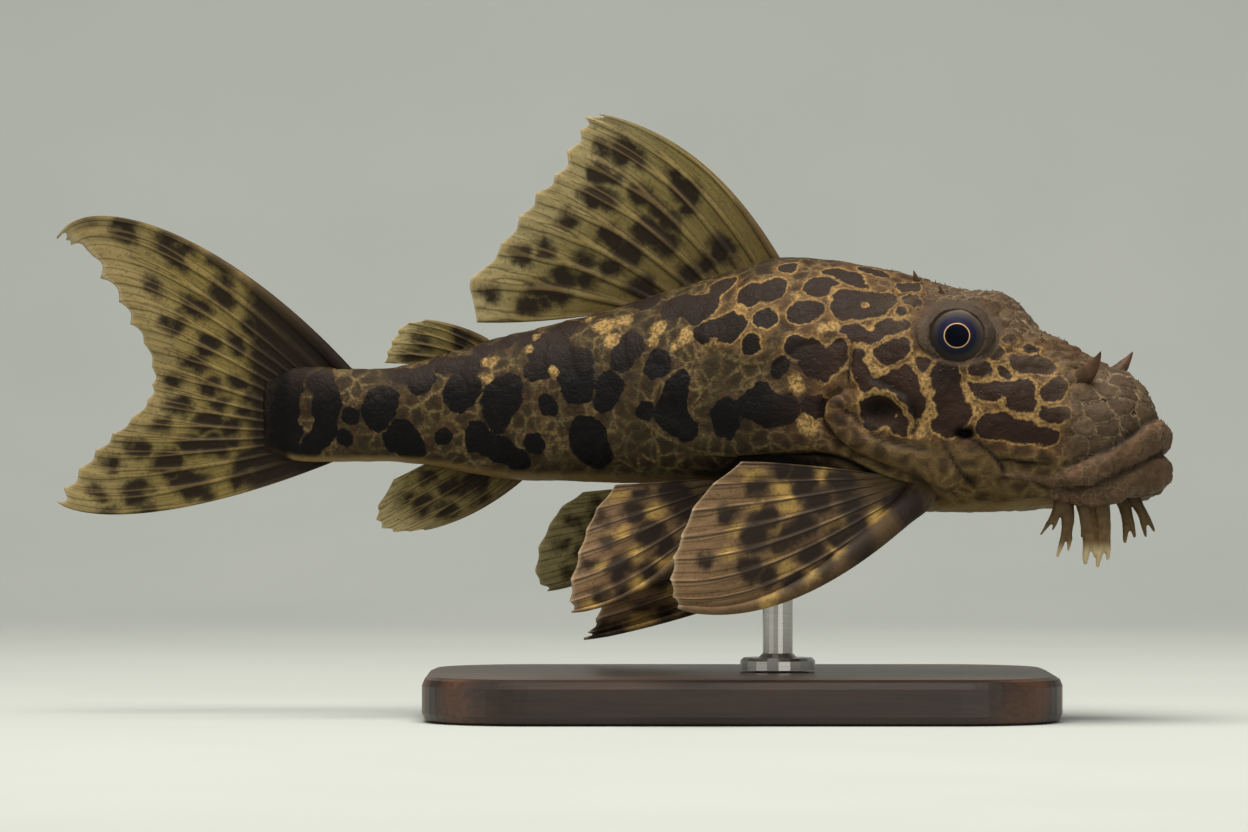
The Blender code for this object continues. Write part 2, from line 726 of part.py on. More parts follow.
def make_stand(wood, steel, room):
    bpy.ops.mesh.primitive_cube_add(size=1.0, location=(0, 0, BASE_THICK / 2))
    base = bpy.context.object
    base.scale = (BASE_LENGTH, BASE_WIDTH, BASE_THICK)
    bpy.ops.object.transform_apply(location=False, rotation=False, scale=True)
    corners = base.modifiers.new("corners", "BEVEL")
    corners.width = BASE_CORNER
    corners.segments = 12
    corners.limit_method = "WEIGHT"
    weights = base.data.attributes.new("bevel_weight_edge", "FLOAT", "EDGE")
    for edge in base.data.edges:
        ends = [base.data.vertices[i].co for i in edge.vertices]
        upright = abs(ends[0].z - ends[1].z) > BASE_THICK / 2
        weights.data[edge.index].value = 1.0 if upright else 0.0
    edges = base.modifiers.new("edges", "BEVEL")
    edges.width = BASE_BEVEL
    edges.segments = 2
    edges.limit_method = "ANGLE"
    edges.angle_limit = math.radians(60)
    bpy.context.view_layer.update()
    finish(as_mesh(base), "stand_base", wood, bent=False)

    profile = [
        (0.0, 45 * MM),
        (ROD_RADIUS, 45 * MM),
        (ROD_RADIUS, BASE_THICK + GAP + COLLAR_THICK + 0.6 * MM),
        (ROD_RADIUS + 0.6 * MM, BASE_THICK + GAP + COLLAR_THICK),
        (COLLAR_RADIUS - 0.4 * MM, BASE_THICK + GAP + COLLAR_THICK),
        (COLLAR_RADIUS, BASE_THICK + GAP + COLLAR_THICK - 0.4 * MM),
        (COLLAR_RADIUS, BASE_THICK + GAP),
        (0.0, BASE_THICK + GAP),
    ]
    mesh = bpy.data.meshes.new("stand_rod")
    mesh.from_pydata([(r, 0, z) for r, z in profile], [(k, k + 1) for k in range(len(profile) - 1)], [])
    rod = bpy.data.objects.new("stand_rod", mesh)
    bpy.context.scene.collection.objects.link(rod)
    turn = rod.modifiers.new("turn", "SCREW")
    turn.steps = turn.render_steps = 20
    turn.use_merge_vertices = True
    turn.merge_threshold = 0.01 * MM
    bpy.context.view_layer.update()
    rod = as_mesh(rod)
    rod.data.transform(Matrix.Translation((ROD_PLACE, 0, 0)))
    for solid in room:
        for vert in solid.data.vertices:
            vert.co = bend(vert.co)
    finish(clear_of(rod, room), "stand_rod", steel, bent=False)
    for solid in room:
        bpy.data.objects.remove(solid)


def main():
    clear_scene()
    group = bpy.data.collections.new("bristlenose_pleco")
    bpy.context.scene.collection.children.link(group)
    skin = material("armoured_skin", (0.16, 0.11, 0.07), 0.55)
    web = material("fin_membrane", (0.30, 0.24, 0.10), 0.5)
    eye = material("wet_eye", (0.02, 0.03, 0.12), 0.08)
    soft = material("soft_feeler", (0.33, 0.23, 0.12), 0.45)
    wood = material("stained_wood", (0.10, 0.06, 0.035), 0.4)
    steel = material("satin_steel", (0.62, 0.61, 0.58), 0.3, 1.0)
    make_body(skin)
    make_eyes(eye)
    room = room_for_body()
    make_fins(web, room)
    make_feelers(soft, room)
    make_stand(wood, steel, room)


main()
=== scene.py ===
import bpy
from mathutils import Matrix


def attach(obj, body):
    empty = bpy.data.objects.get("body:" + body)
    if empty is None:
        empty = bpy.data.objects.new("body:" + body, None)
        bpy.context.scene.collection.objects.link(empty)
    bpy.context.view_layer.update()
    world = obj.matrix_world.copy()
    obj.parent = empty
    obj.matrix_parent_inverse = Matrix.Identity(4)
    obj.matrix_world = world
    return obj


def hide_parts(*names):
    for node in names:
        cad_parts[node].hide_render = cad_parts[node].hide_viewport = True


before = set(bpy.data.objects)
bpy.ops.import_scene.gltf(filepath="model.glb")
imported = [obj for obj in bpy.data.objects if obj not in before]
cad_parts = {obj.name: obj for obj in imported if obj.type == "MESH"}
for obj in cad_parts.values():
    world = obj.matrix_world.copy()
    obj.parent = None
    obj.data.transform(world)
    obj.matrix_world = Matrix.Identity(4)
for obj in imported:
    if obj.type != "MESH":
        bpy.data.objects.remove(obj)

"""The looks of a bristlenose pleco, a still life-size model on a display stand.

The fish is worked out straight, in millimetres: s along the spine, t to its left, z up.
Its points are then bent sideways into the pose and turned to metres."""

import math

import bmesh
import bpy
import numpy as np
from mathutils import Matrix, Vector
from mathutils.bvhtree import BVHTree
from mathutils.kdtree import KDTree

MM = 0.001  # metres in one millimetre
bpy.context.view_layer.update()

# The body: place along the spine, height of back and belly, half width, share of height at the widest level
STATIONS = np.array((
    (-63.0, 45.0, 35.4, 1.0, 0.5),
    (-60.0, 46.5, 34.2, 1.8, 0.5),
    (-54.0, 46.6, 33.9, 3.4, 0.5),
    (-47.0, 46.4, 34.0, 4.5, 0.48),
    (-40.0, 48.2, 33.3, 5.5, 0.46),
    (-32.0, 50.6, 31.8, 7.2, 0.43),
    (-22.0, 53.1, 31.4, 9.4, 0.4),
    (-12.0, 56.0, 31.1, 11.8, 0.37),
    (-3.0, 58.9, 30.7, 13.9, 0.35),
    (4.7, 61.2, 30.0, 15.4, 0.34),
    (13.0, 60.7, 28.9, 16.5, 0.34),
    (21.0, 59.1, 27.9, 16.6, 0.35),
    (28.0, 57.0, 27.4, 15.7, 0.36),
    (34.0, 54.4, 27.5, 14.4, 0.37),
    (39.3, 51.4, 27.9, 12.8, 0.39),
    (44.5, 48.6, 28.7, 10.9, 0.42),
    (48.5, 46.3, 29.7, 9.0, 0.45),
))
SNOUT_REACH = 5.8
SNOUT_FALL = 1.5  # how soon the top of the snout falls away, 1 for a plain ellipse
SNOUT_HEIGHT = 39.6
TAIL_END = 0.7  # how far the last section is rounded off behind
TAIL_FLAT = 0.7  # share of its height that the rounded end keeps
TAIL_ROWS = 5
SNOUT_ROWS = 16
BACK_ROUND = 1.95  # 2 is a half ellipse, and more is squarer
BELLY_ROUND = 2.8
BODY_SIDES = 120
BODY_STEP = 0.8

# Where the head's parts begin along the spine
NECK = 18.0
FACE_FROM = 32.0
CHEEK_END = 42.0

SKIN_GRID = 0.36  # size of a face of the skin
PLATE_LARGE = 2.3  # size of a bony plate at the front of the snout
PLATE_SMALL = 1.45  # and on the roof of the head
PLATE_SHAPE = (0.85, 1.0, 1.15)  # plates are longer along the head than they are high

BEND_START = -30.0
BEND_END = 30.0
BEND_SLOPE = math.tan(math.radians(18.0))

# Scutes
SCUTE_FRONT = 17.0
SCUTE_LENGTH = 77.0 / 21
SCUTE_TURN = 360 / 44 * 4  # degrees round the body under one row
SCUTE_ROWS = 5
SCUTE_LIFT = 0.13
SCUTE_BOW = 0.9

# Lips, in plan a half ellipse
UPPER_LIP = {
    "back": 44.0, "reach": 9.6, "half": 9.4, "front_z": 37.5, "back_z": 32.0, "thick": 2.5, "thin": 1.6,
    "run": 8.0, "rise": 0.6,
}
LOWER_LIP = {
    "back": 45.0, "reach": 8.2, "half": 7.9, "front_z": 32.9, "back_z": 30.1, "thick": 2.85, "thin": 1.5,
    "run": 4.0, "rise": -0.4,
}

# Eye
EYE_PLACE = np.array((31.0, 9.6, 50.5))
EYE_RADIUS = 4.2
EYE_TILT = 22.0
LID_PLACE = EYE_PLACE + np.array((-0.9, 0.0, 0.0))
LID_LONG = 5.2  # half length of the mound of skin round the eye
LID_HIGH = 4.3
LID_OUT = 3.7
LID_OPEN = 3.35  # radius of the opening in it
GAZE = np.array((0.25, 0.97, 0.02))  # of the left eye, a little forwards
PUPIL = 1.52
PUPIL_RING = 0.12
IRIS = 3.15


def smoothstep(x):
    x = np.clip(x, 0.0, 1.0)
    return x * x * (3.0 - 2.0 * x)


def hill(x):
    """1 at 0, falling smoothly to 0 at 1 and -1."""
    return np.clip(1 - x * x, 0.0, None) ** 2


def through(keys, values, x):
    """A smooth curve through the values, read at x."""
    slopes = np.gradient(values, keys)
    i = np.clip(np.searchsorted(keys, x) - 1, 0, len(keys) - 2)
    width = keys[i + 1] - keys[i]
    f = (x - keys[i]) / width
    return (
        (2 * f**3 - 3 * f**2 + 1) * values[i]
        + (f**3 - 2 * f**2 + f) * width * slopes[i]
        + (3 * f**2 - 2 * f**3) * values[i + 1]
        + (f**3 - f**2) * width * slopes[i + 1]
    )


def section(s):
    """Back height, belly height, half width and widest share of the body along the spine."""
    s = np.clip(s, STATIONS[0, 0], STATIONS[-1, 0])
    return [through(STATIONS[:, 0], STATIONS[:, k], s) for k in (1, 2, 3, 4)]


def spine_run(s):
    length = BEND_END - BEND_START
    u = np.clip((s - BEND_START) / length, 0.0, 1.0)
    return length * (u**3 - u**4 / 2) + np.clip(s - BEND_END, 0.0, None)


def bend(points):
    """The places in the pose, in metres, of points of the straight fish in millimetres."""
    s, t, z = np.asarray(points, float).T
    turn = np.arctan(BEND_SLOPE * smoothstep((s - BEND_START) / (BEND_END - BEND_START)))
    spine = -BEND_SLOPE * (spine_run(s) - spine_run(0.0))
    return np.stack((s + t * np.sin(turn), spine + t * np.cos(turn), z), axis=1) * MM


def from_middle(s, z):
    """Half width of the body, how far a height is from its widest level, from -1 at the belly to 1 at the
    back, and how square the section is there."""
    top, belly, half, share = section(s)
    middle = belly + share * (top - belly)
    reach = np.where(z > middle, top - middle, middle - belly)
    return half, np.clip((z - middle) / reach, -1.0, 1.0), np.where(z > middle, BACK_ROUND, BELLY_ROUND)


def flank_width(s, z):
    """How far the plain side of the body is from its middle plane."""
    half, off, power = from_middle(s, z)
    return half * (1 - np.abs(off) ** power) ** (1 / power)


def turn_from_back(s, t, z):
    """Degrees round the body, 0 along the back and 180 along the belly."""
    half, off, power = from_middle(s, z)
    up = np.sign(off) * np.abs(off) ** (power / 2)
    across = np.clip(np.abs(t) / half, 0.0, 1.0) ** (power / 2)
    return 90 - np.degrees(np.arctan2(up, across + 1e-9))


GRAIN_TABLE = 4096
GRAIN_PRIMES = (73856093, 19349663, 83492791)  # they scatter neighbouring places over the table


def grain(points, size, seed):
    """Smooth chance values between -1 and 1 that change over the given length."""
    table = np.random.default_rng(seed).uniform(-1, 1, GRAIN_TABLE)
    place = np.asarray(points) / size
    low = np.floor(place).astype(np.int64)
    f = smoothstep(place - low)
    total = 0.0
    for corner in range(8):
        step = np.array([(corner >> k) & 1 for k in range(3)])
        x, y, z = ((low + step) * GRAIN_PRIMES).T
        share = np.prod(np.where(step, f, 1 - f), axis=1)
        total = total + share * table[(x ^ y ^ z) % GRAIN_TABLE]
    return total


def drift(points, size, seed):
    """Smooth chance shifts in all three directions, from three seeds in a row."""
    return np.stack([grain(points, size, seed + k) for k in range(3)], axis=1)


def mesh_object(name, points, faces):
    """A mesh object from points in millimetres."""
    mesh = bpy.data.meshes.new(name)
    points = np.asarray(points, float) * MM
    mesh.from_pydata(points.tolist(), [], [tuple(int(i) for i in face) for face in faces])
    mesh.validate()
    obj = bpy.data.objects.new(name, mesh)
    bpy.context.scene.collection.objects.link(obj)
    return obj


def closed_loft(rings):
    """Points and faces of a skin through rings of points, closed at both ends."""
    count = len(rings[0])
    faces = []
    for row in range(len(rings) - 1):
        a, b = row * count, (row + 1) * count
        faces += [(a + i, a + (i + 1) % count, b + (i + 1) % count, b + i) for i in range(count)]
    faces.append(tuple(range(count))[::-1])
    faces.append(tuple(range((len(rings) - 1) * count, len(rings) * count)))
    return np.concatenate(rings), faces


def tube(points, radii, sides, flat=1.0):
    """A closed tapered tube along the points. Flat is the share of its radius left in the cross direction."""
    points = np.asarray(points, float)
    ahead = np.gradient(points, axis=0)
    ahead /= np.linalg.norm(ahead, axis=1)[:, None]
    across = np.cross(ahead, (0.0, 0.0, 1.0)) + 1e-6
    across /= np.linalg.norm(across, axis=1)[:, None]
    other = np.cross(across, ahead)
    angles = np.linspace(0, 2 * math.pi, sides, endpoint=False)[:, None]
    return closed_loft([
        points[k] + np.cos(angles) * across[k] * radius + np.sin(angles) * other[k] * radius * flat
        for k, radius in enumerate(radii)
    ])


def joined(parts):
    """Points and faces of several closed shapes together."""
    points, faces, start = [], [], 0
    for some, their_faces in parts:
        points.append(some)
        faces += [tuple(i + start for i in face) for face in their_faces]
        start += len(some)
    return np.concatenate(points), faces


def evaluated(obj):
    """The object's mesh with its modifiers applied."""
    graph = bpy.context.evaluated_depsgraph_get()
    mesh = bpy.data.meshes.new_from_object(obj.evaluated_get(graph))
    obj.modifiers.clear()
    old = obj.data
    obj.data = mesh
    bpy.data.meshes.remove(old)
    return obj


def melted(name, parts, size):
    """One closed skin over overlapping closed shapes, with faces of the given size in millimetres."""
    obj = mesh_object(name, *joined(parts))
    melt = obj.modifiers.new("melt", "REMESH")
    melt.mode = "VOXEL"
    melt.voxel_size = size * MM
    return evaluated(obj)


def read(mesh, what="co"):
    """A mesh's points in metres, or its normals."""
    data = np.empty(len(mesh.vertices) * 3, np.float32)
    mesh.vertices.foreach_get(what, data)
    return data.reshape(-1, 3).astype(float)


def write(mesh, points):
    mesh.vertices.foreach_set("co", np.asarray(points, np.float32).ravel())
    mesh.update()


def relax(mesh, times):
    """Evens out the small steps of a melted skin, and gives its points in millimetres."""
    points = read(mesh) / MM
    ends = np.empty(len(mesh.edges) * 2, np.int32)
    mesh.edges.foreach_get("vertices", ends)
    a, b = ends.reshape(-1, 2).T
    count = np.bincount(ends, minlength=len(points))[:, None]
    for _ in range(times):
        total = np.zeros_like(points)
        for axis in range(3):
            total[:, axis] += np.bincount(a, points[b, axis], len(points))
            total[:, axis] += np.bincount(b, points[a, axis], len(points))
        points += 0.5 * (total / count - points)
    write(mesh, points * MM)
    return points


def keep(mesh, **values):
    """Stores named values for each point of the mesh, for the materials to read."""
    for name, value in values.items():
        value = np.asarray(value, np.float32)
        kind, field = ("FLOAT", "value") if value.ndim == 1 else ("FLOAT_VECTOR", "vector")
        mesh.attributes.new(name, kind, "POINT").data.foreach_set(field, value.ravel())


def finished(obj, points, look):
    """Bends a piece from the straight fish into the pose and gives it its material."""
    write(obj.data, bend(points))
    obj.data.shade_smooth()
    obj.data.materials.append(look)
    return obj


def spread(positions, apart, seed):
    """Points picked by chance from the positions, at least the given length apart."""
    order = np.random.default_rng(seed).permutation(len(positions))
    cell = {}
    picked = []
    for i in order:
        place = positions[i]
        key = tuple(np.floor(place / apart).astype(int))
        near = (
            cell.get((key[0] + x, key[1] + y, key[2] + z), ())
            for x in (-1, 0, 1) for y in (-1, 0, 1) for z in (-1, 0, 1)
        )
        if all(np.sum((positions[j] - place) ** 2) > apart**2 for some in near for j in some):
            cell.setdefault(key, []).append(i)
            picked.append(i)
    return positions[picked]


def plates(points, seeds):
    """For each point its plate's number and how far it is from that plate's border."""
    tree = KDTree(len(seeds))
    for i, seed in enumerate(seeds):
        tree.insert(seed, i)
    tree.balance()
    number = np.zeros(len(points), int)
    border = np.zeros(len(points))
    for k, point in enumerate(points):
        (first, i, near), (second, _, far) = tree.find_n(point, 2)
        number[k] = i
        border[k] = (far * far - near * near) / (2 * (second - first).length + 1e-9)
    return number, border


def body_loft():
    """The plain body, from the rounded end of the tail stalk to the tip of the snout."""
    first, last = STATIONS[0, 0], STATIONS[-1, 0]
    angles = np.linspace(0, 2 * math.pi, BODY_SIDES, endpoint=False)
    across, up = np.cos(angles), np.sin(angles)
    power = 2 / np.where(up > 0, BACK_ROUND, BELLY_ROUND)
    rings = []

    def ring(s, top, belly, half, share):
        middle = belly + share * (top - belly)
        reach = np.where(up > 0, top - middle, middle - belly)
        t = half * np.sign(across) * np.abs(across) ** power
        z = middle + reach * np.sign(up) * np.abs(up) ** power
        rings.append(np.stack((np.full(BODY_SIDES, s), t, z), axis=1))

    top, belly, half, share = section(first)
    centre = (top + belly) / 2
    for angle in np.linspace(0, math.pi / 2, TAIL_ROWS, endpoint=False)[:0:-1]:
        shrink = math.cos(angle)
        high = TAIL_FLAT + (1 - TAIL_FLAT) * shrink
        ring(first - TAIL_END * math.sin(angle), centre + (top - centre) * high,
             centre + (belly - centre) * high, half * shrink, share)
    for s in np.linspace(first, last, round((last - first) / BODY_STEP)):
        ring(s, *section(s))
    top, belly, half, share = section(last)
    for angle in np.linspace(0, math.pi / 2, SNOUT_ROWS, endpoint=False)[1:]:
        shrink = math.cos(angle)
        ring(last + SNOUT_REACH * math.sin(angle), SNOUT_HEIGHT + (top - SNOUT_HEIGHT) * shrink**SNOUT_FALL,
             SNOUT_HEIGHT + (belly - SNOUT_HEIGHT) * shrink, half * shrink, share)
    return closed_loft(rings)


def lip(size):
    """A roll round the snout whose ends run back along the cheeks."""
    turn = np.radians(np.linspace(-90, 90, 45))
    front = np.cos(turn)
    curve = np.stack(
        (
            size["back"] + size["reach"] * front,
            size["half"] * np.sin(turn),
            size["back_z"] + (size["front_z"] - size["back_z"]) * front**2,
        ),
        axis=1,
    )
    radii = size["thin"] + (size["thick"] - size["thin"]) * front**0.7
    back = np.linspace(0, 1, 9)[1:, None]
    s = size["back"] - size["run"] * back[:, 0]
    z = size["back_z"] + size["rise"] * back[:, 0]
    ends = []
    for side in (-1, 1):
        share = smoothstep(back[:, 0] / 0.6)
        t = side * (size["half"] * (1 - share) + (flank_width(s, z) - 0.2) * share)
        ends.append(np.stack((s, t, z), axis=1))
    thin = size["thin"] * (1 - 0.75 * back[:, 0])
    points = np.concatenate((ends[0][::-1], curve, ends[1]))
    return tube(points, np.concatenate((thin[::-1], radii, thin)), 28)


def lid(side):
    """The mound of skin that an eye sits in."""
    tilt = math.radians(EYE_TILT)
    out = np.array((0.0, side * math.cos(tilt), math.sin(tilt)))
    up = np.array((0.0, -side * math.sin(tilt), math.cos(tilt)))
    rings = []
    for a in np.linspace(0.02, math.pi - 0.02, 30):
        b = np.linspace(0, 2 * math.pi, 48, endpoint=False)[:, None]
        ring = np.cos(b) * (LID_LONG, 0, 0) + np.sin(b) * up * LID_HIGH
        rings.append(LID_PLACE * (1, side, 1) + ring * math.sin(a) + out * LID_OUT * math.cos(a))
    return closed_loft(rings)


def open_lids(points):
    """Sinks the skin behind each eyeball and lays the lid's edge against it."""
    points = points.copy()
    for side in (-1, 1):
        gaze = GAZE * (1, side, 1) / np.linalg.norm(GAZE)
        off = points - EYE_PLACE * (1, side, 1)
        front = off @ gaze
        radius = np.sqrt(np.clip(np.sum(off**2, axis=1) - front**2, 0, None))
        ball = np.sqrt(np.clip(EYE_RADIUS**2 - radius**2, 0, None))
        near = (radius < EYE_RADIUS + 0.2) & (front > 0)
        edge = np.maximum(front, ball + 0.12)
        share = smoothstep((radius - LID_OPEN + 0.15) / 0.4)
        height = (ball - 0.6) * (1 - share) + edge * share
        points[near] += ((height - front)[:, None] * gaze)[near]
    return points


def distance_to(shape, points):
    """How far each point is from the surface of a shape."""
    shape_points, faces = shape
    tree = BVHTree.FromPolygons([tuple(p) for p in shape_points], faces)
    return np.array([tree.find_nearest(p)[3] for p in points])


def to_line(points, line):
    """Distance of each point from a line of points in the side view, positive on its left,
    and how far along the line the nearest place is."""
    s, z = points[:, 0], points[:, 2]
    best = np.full(len(s), 1e9)
    sign = np.ones(len(s))
    along = np.zeros(len(s))
    start = 0.0
    for (s1, z1), (s2, z2) in zip(line, line[1:]):
        ds, dz = s2 - s1, z2 - z1
        length = math.hypot(ds, dz)
        f = np.clip(((s - s1) * ds + (z - z1) * dz) / length**2, 0.0, 1.0)
        far = np.hypot(s - s1 - f * ds, z - z1 - f * dz)
        nearer = far < best - 1e-9
        side = np.where(ds * (z - z1) - dz * (s - s1) > 0, 1.0, -1.0)
        sign = np.where(nearer, side, sign)
        along = np.where(nearer, start + f * length, along)
        best = np.where(nearer, far, best)
        start += length
    return best * sign, along, start


def smooth_line(line, pieces=6):
    """A line of points made round through its corners."""
    line = np.array(line, float)
    keys = np.arange(len(line), dtype=float)
    at = np.linspace(0, len(line) - 1, (len(line) - 1) * pieces + 1)
    return np.stack((through(keys, line[:, 0], at), through(keys, line[:, 1], at)), axis=1)


# Rear edge of the gill cover's fold, and the other lines where one form lies over another.
# A line has its points, then how high its left side stands, over what width, and how deep the crease is
CREASES = {
    "gill_fold": (
        (
            (18.5, 43.4), (16.0, 42.4), (15.0, 40.4), (16.4, 37.8), (19.8, 35.3), (24.0, 33.5), (28.6, 31.6),
            (32.0, 29.6),
        ),
        1.3, 2.2, 0.9,
    ),
    "fold_top": (
        ((29.8, 35.2), (26.6, 36.0), (22.9, 37.0), (18.8, 40.2), (16.6, 41.2)),
        0.35, 1.0, 0.6,
    ),
    "gill_upright": (((18.7, 50.2), (18.3, 46.2), (18.5, 43.2)), 0.35, 1.2, 0.5),
    "cheek_flap": (((25.6, 37.2), (27.2, 38.9), (26.3, 41.9), (23.8, 43.6), (20.2, 45.6)), 0.35, 1.0, 0.4),
    "shoulder_ridge": (
        (
            (-6.0, 51.0), (-3.8, 49.8), (1.2, 47.5), (3.9, 47.0), (7.6, 47.4), (10.8, 49.6), (14.0, 50.0),
            (18.4, 50.3),
        ),
        0.3, 1.6, 0.1,
    ),
    "flank_low": (((-12.8, 39.6), (-7.8, 36.8), (-0.5, 35.0), (8.3, 35.4), (16.3, 36.6)), 0.35, 1.6, 0.1),
    "flap_plate_rear": (((34.4, 30.0), (32.4, 33.1), (30.6, 36.4)), 0.0, 1.0, 0.4),
    "flap_plate_front": (((37.6, 31.6), (37.3, 33.8), (34.4, 36.8), (31.6, 37.0)), 0.0, 1.0, 0.4),
    "snout_rim": (((36.7, 34.8), (41.0, 34.1), (44.6, 33.9)), 0.4, 1.2, 0.4),
}
SHALLOW = 0.15  # a crease no deeper than this is a thin pale line, not a dark one

# Dark blotches on a side: each is one or more discs (along, up, radius) that melt together
BLOTCHES = (
    # Back and shoulder
    ((2.8, 56.1, 1.8), (6.1, 56.8, 1.8)),
    ((7.4, 59.8, 1.2),),
    ((12.2, 57.3, 1.5), (12.9, 57.1, 1.3)),
    ((13.7, 59.1, 1.2), (16.0, 58.4, 1.5), (17.7, 57.3, 1.1)),
    ((17.6, 59.4, 0.9), (19.7, 58.8, 0.9)),
    ((23.3, 57.1, 1.0), (23.9, 57.4, 0.7)),
    ((25.1, 55.3, 0.9), (24.4, 55.0, 0.6)),
    (
        (16.5, 55.6, 1.7), (18.1, 56.2, 1.0), (19.9, 55.5, 0.9), (21.7, 55.3, 1.2), (20.6, 54.0, 1.0),
        (17.2, 54.2, 1.3), (15.8, 54.2, 1.0), (18.8, 53.5, 0.9),
    ),
    ((24.0, 53.6, 0.7),),
    ((17.9, 51.3, 1.1), (22.3, 51.6, 1.3), (23.9, 51.8, 1.1), (19.3, 50.3, 0.8), (21.2, 50.5, 0.8)),
    ((10.6, 53.9, 1.6), (12.0, 54.1, 1.3)),
    ((5.6, 53.0, 1.4),),
    ((0.7, 51.7, 2.1), (-2.9, 51.2, 1.8)),
    ((3.9, 49.3, 1.3),),
    ((8.4, 46.6, 1.3),),
    (
        (13.0, 47.4, 1.7), (14.6, 46.3, 1.4), (16.3, 47.7, 1.4), (10.6, 49.0, 1.3), (12.8, 49.1, 1.1),
        (16.9, 49.3, 0.7),
    ),
    # Flank behind the gill cover
    (
        (0.5, 40.5, 1.9), (0.2, 38.8, 1.5), (4.5, 41.6, 2.0), (7.1, 40.7, 2.0), (10.1, 41.0, 1.7),
        (5.7, 43.6, 1.2),
    ),
    ((14.4, 41.4, 1.2), (12.9, 41.7, 0.9)),
    ((-7.2, 42.9, 1.9), (-8.1, 40.2, 2.1), (-5.7, 38.3, 1.5), (-6.8, 44.9, 1.2)),
    ((-10.2, 46.8, 1.8),),
    ((-11.9, 40.6, 1.2),),
    # Gill cover, cheek and snout
    ((23.2, 48.5, 1.4), (24.4, 48.8, 1.2)),
    ((27.4, 46.5, 0.9), (28.0, 46.5, 0.6)),
    (
        (19.3, 48.4, 0.7), (19.4, 47.0, 0.8), (19.8, 45.6, 0.9), (21.0, 44.2, 1.0), (23.0, 43.9, 1.1),
        (24.5, 44.6, 1.2), (25.6, 45.4, 1.2), (26.3, 43.3, 1.3), (27.1, 41.7, 1.1), (27.2, 40.3, 0.8),
    ),
    ((21.2, 42.2, 1.1), (22.7, 41.9, 1.8), (22.0, 40.3, 1.6), (24.6, 39.9, 1.5), (25.4, 38.6, 0.9)),
    (
        (30.3, 45.5, 1.5), (30.8, 43.7, 1.5), (30.9, 42.1, 1.4), (31.6, 40.3, 1.5), (32.9, 40.7, 1.0),
        (31.0, 39.0, 1.2),
    ),
    ((34.5, 45.8, 0.9), (35.3, 45.6, 0.7)),
    ((37.2, 45.8, 0.7), (37.7, 45.6, 0.7)),
    ((38.8, 46.8, 1.0), (40.2, 46.6, 1.2), (41.7, 46.6, 1.2)),
    ((36.1, 48.1, 1.0),),
    ((37.2, 50.1, 0.8), (37.9, 49.8, 0.5)),
    ((39.2, 49.1, 0.7), (39.9, 48.8, 0.5)),
    (
        (34.3, 43.8, 0.7), (35.3, 43.4, 0.9), (36.4, 43.3, 0.9), (38.0, 43.3, 1.2), (39.8, 43.2, 1.5),
        (39.6, 41.8, 1.1), (40.7, 41.7, 0.9),
    ),
    ((43.1, 43.1, 1.3), (44.2, 44.0, 1.0), (44.0, 42.6, 0.8)),
    ((44.0, 40.6, 1.4), (45.4, 40.2, 1.1), (43.0, 40.2, 1.0)),
    (
        (36.3, 39.0, 1.3), (37.7, 38.8, 1.3), (39.3, 38.4, 1.2), (40.9, 38.2, 1.1), (42.3, 37.8, 0.9),
        (43.4, 37.4, 0.6),
    ),
    ((35.3, 31.8, 0.6),),
    # Tail
    ((-47.8, 42.2, 1.9), (-48.1, 40.2, 1.7)),
    ((-45.4, 37.4, 1.9), (-44.0, 36.0, 1.8)),
    ((-42.6, 44.2, 1.4), (-42.2, 45.7, 1.4), (-45.3, 45.6, 1.2)),
    ((-36.8, 44.2, 2.1), (-37.4, 42.5, 1.6), (-36.3, 46.9, 1.8), (-40.0, 47.0, 1.4)),
    ((-32.1, 42.2, 2.4), (-30.7, 43.7, 1.9), (-32.6, 39.2, 1.6)),
    ((-34.7, 37.4, 1.8), (-32.3, 35.7, 1.8), (-29.6, 34.1, 1.5)),
    (
        (-25.4, 48.9, 2.7), (-26.8, 46.3, 1.8), (-22.0, 46.6, 2.6), (-21.2, 43.7, 2.1), (-28.6, 50.6, 1.6),
        (-23.2, 51.8, 1.8),
    ),
    ((-17.1, 44.2, 1.9), (-17.4, 42.2, 1.5)),
    ((-19.9, 37.2, 2.6), (-18.9, 35.1, 2.0)),
    ((-25.6, 41.4, 1.2),),
    ((-27.4, 36.5, 1.2),),
    ((-14.1, 49.5, 1.9), (-15.4, 47.6, 1.3)),
    ((-39.4, 37.3, 1.0),),
    ((-58.8, 46.9, 1.6), (-60.1, 44.2, 1.8), (-60.7, 40.9, 1.9), (-60.4, 37.6, 1.8), (-59.3, 34.9, 1.6)),
    ((-56.0, 44.8, 1.6), (-55.0, 41.6, 2.0), (-55.5, 38.2, 1.7), (-57.6, 36.0, 1.5)),
    ((-52.6, 36.9, 0.9),),
    ((-51.6, 39.9, 1.0),),
    ((-34.3, 49.0, 1.3), (-31.0, 50.0, 1.2)),
    (
        (-20.0, 55.6, 1.3), (-15.4, 55.6, 1.8), (-12.0, 55.4, 1.8), (-7.6, 54.8, 2.3), (-4.2, 54.4, 2.3),
        (-1.5, 57.4, 1.6),
    ),
)

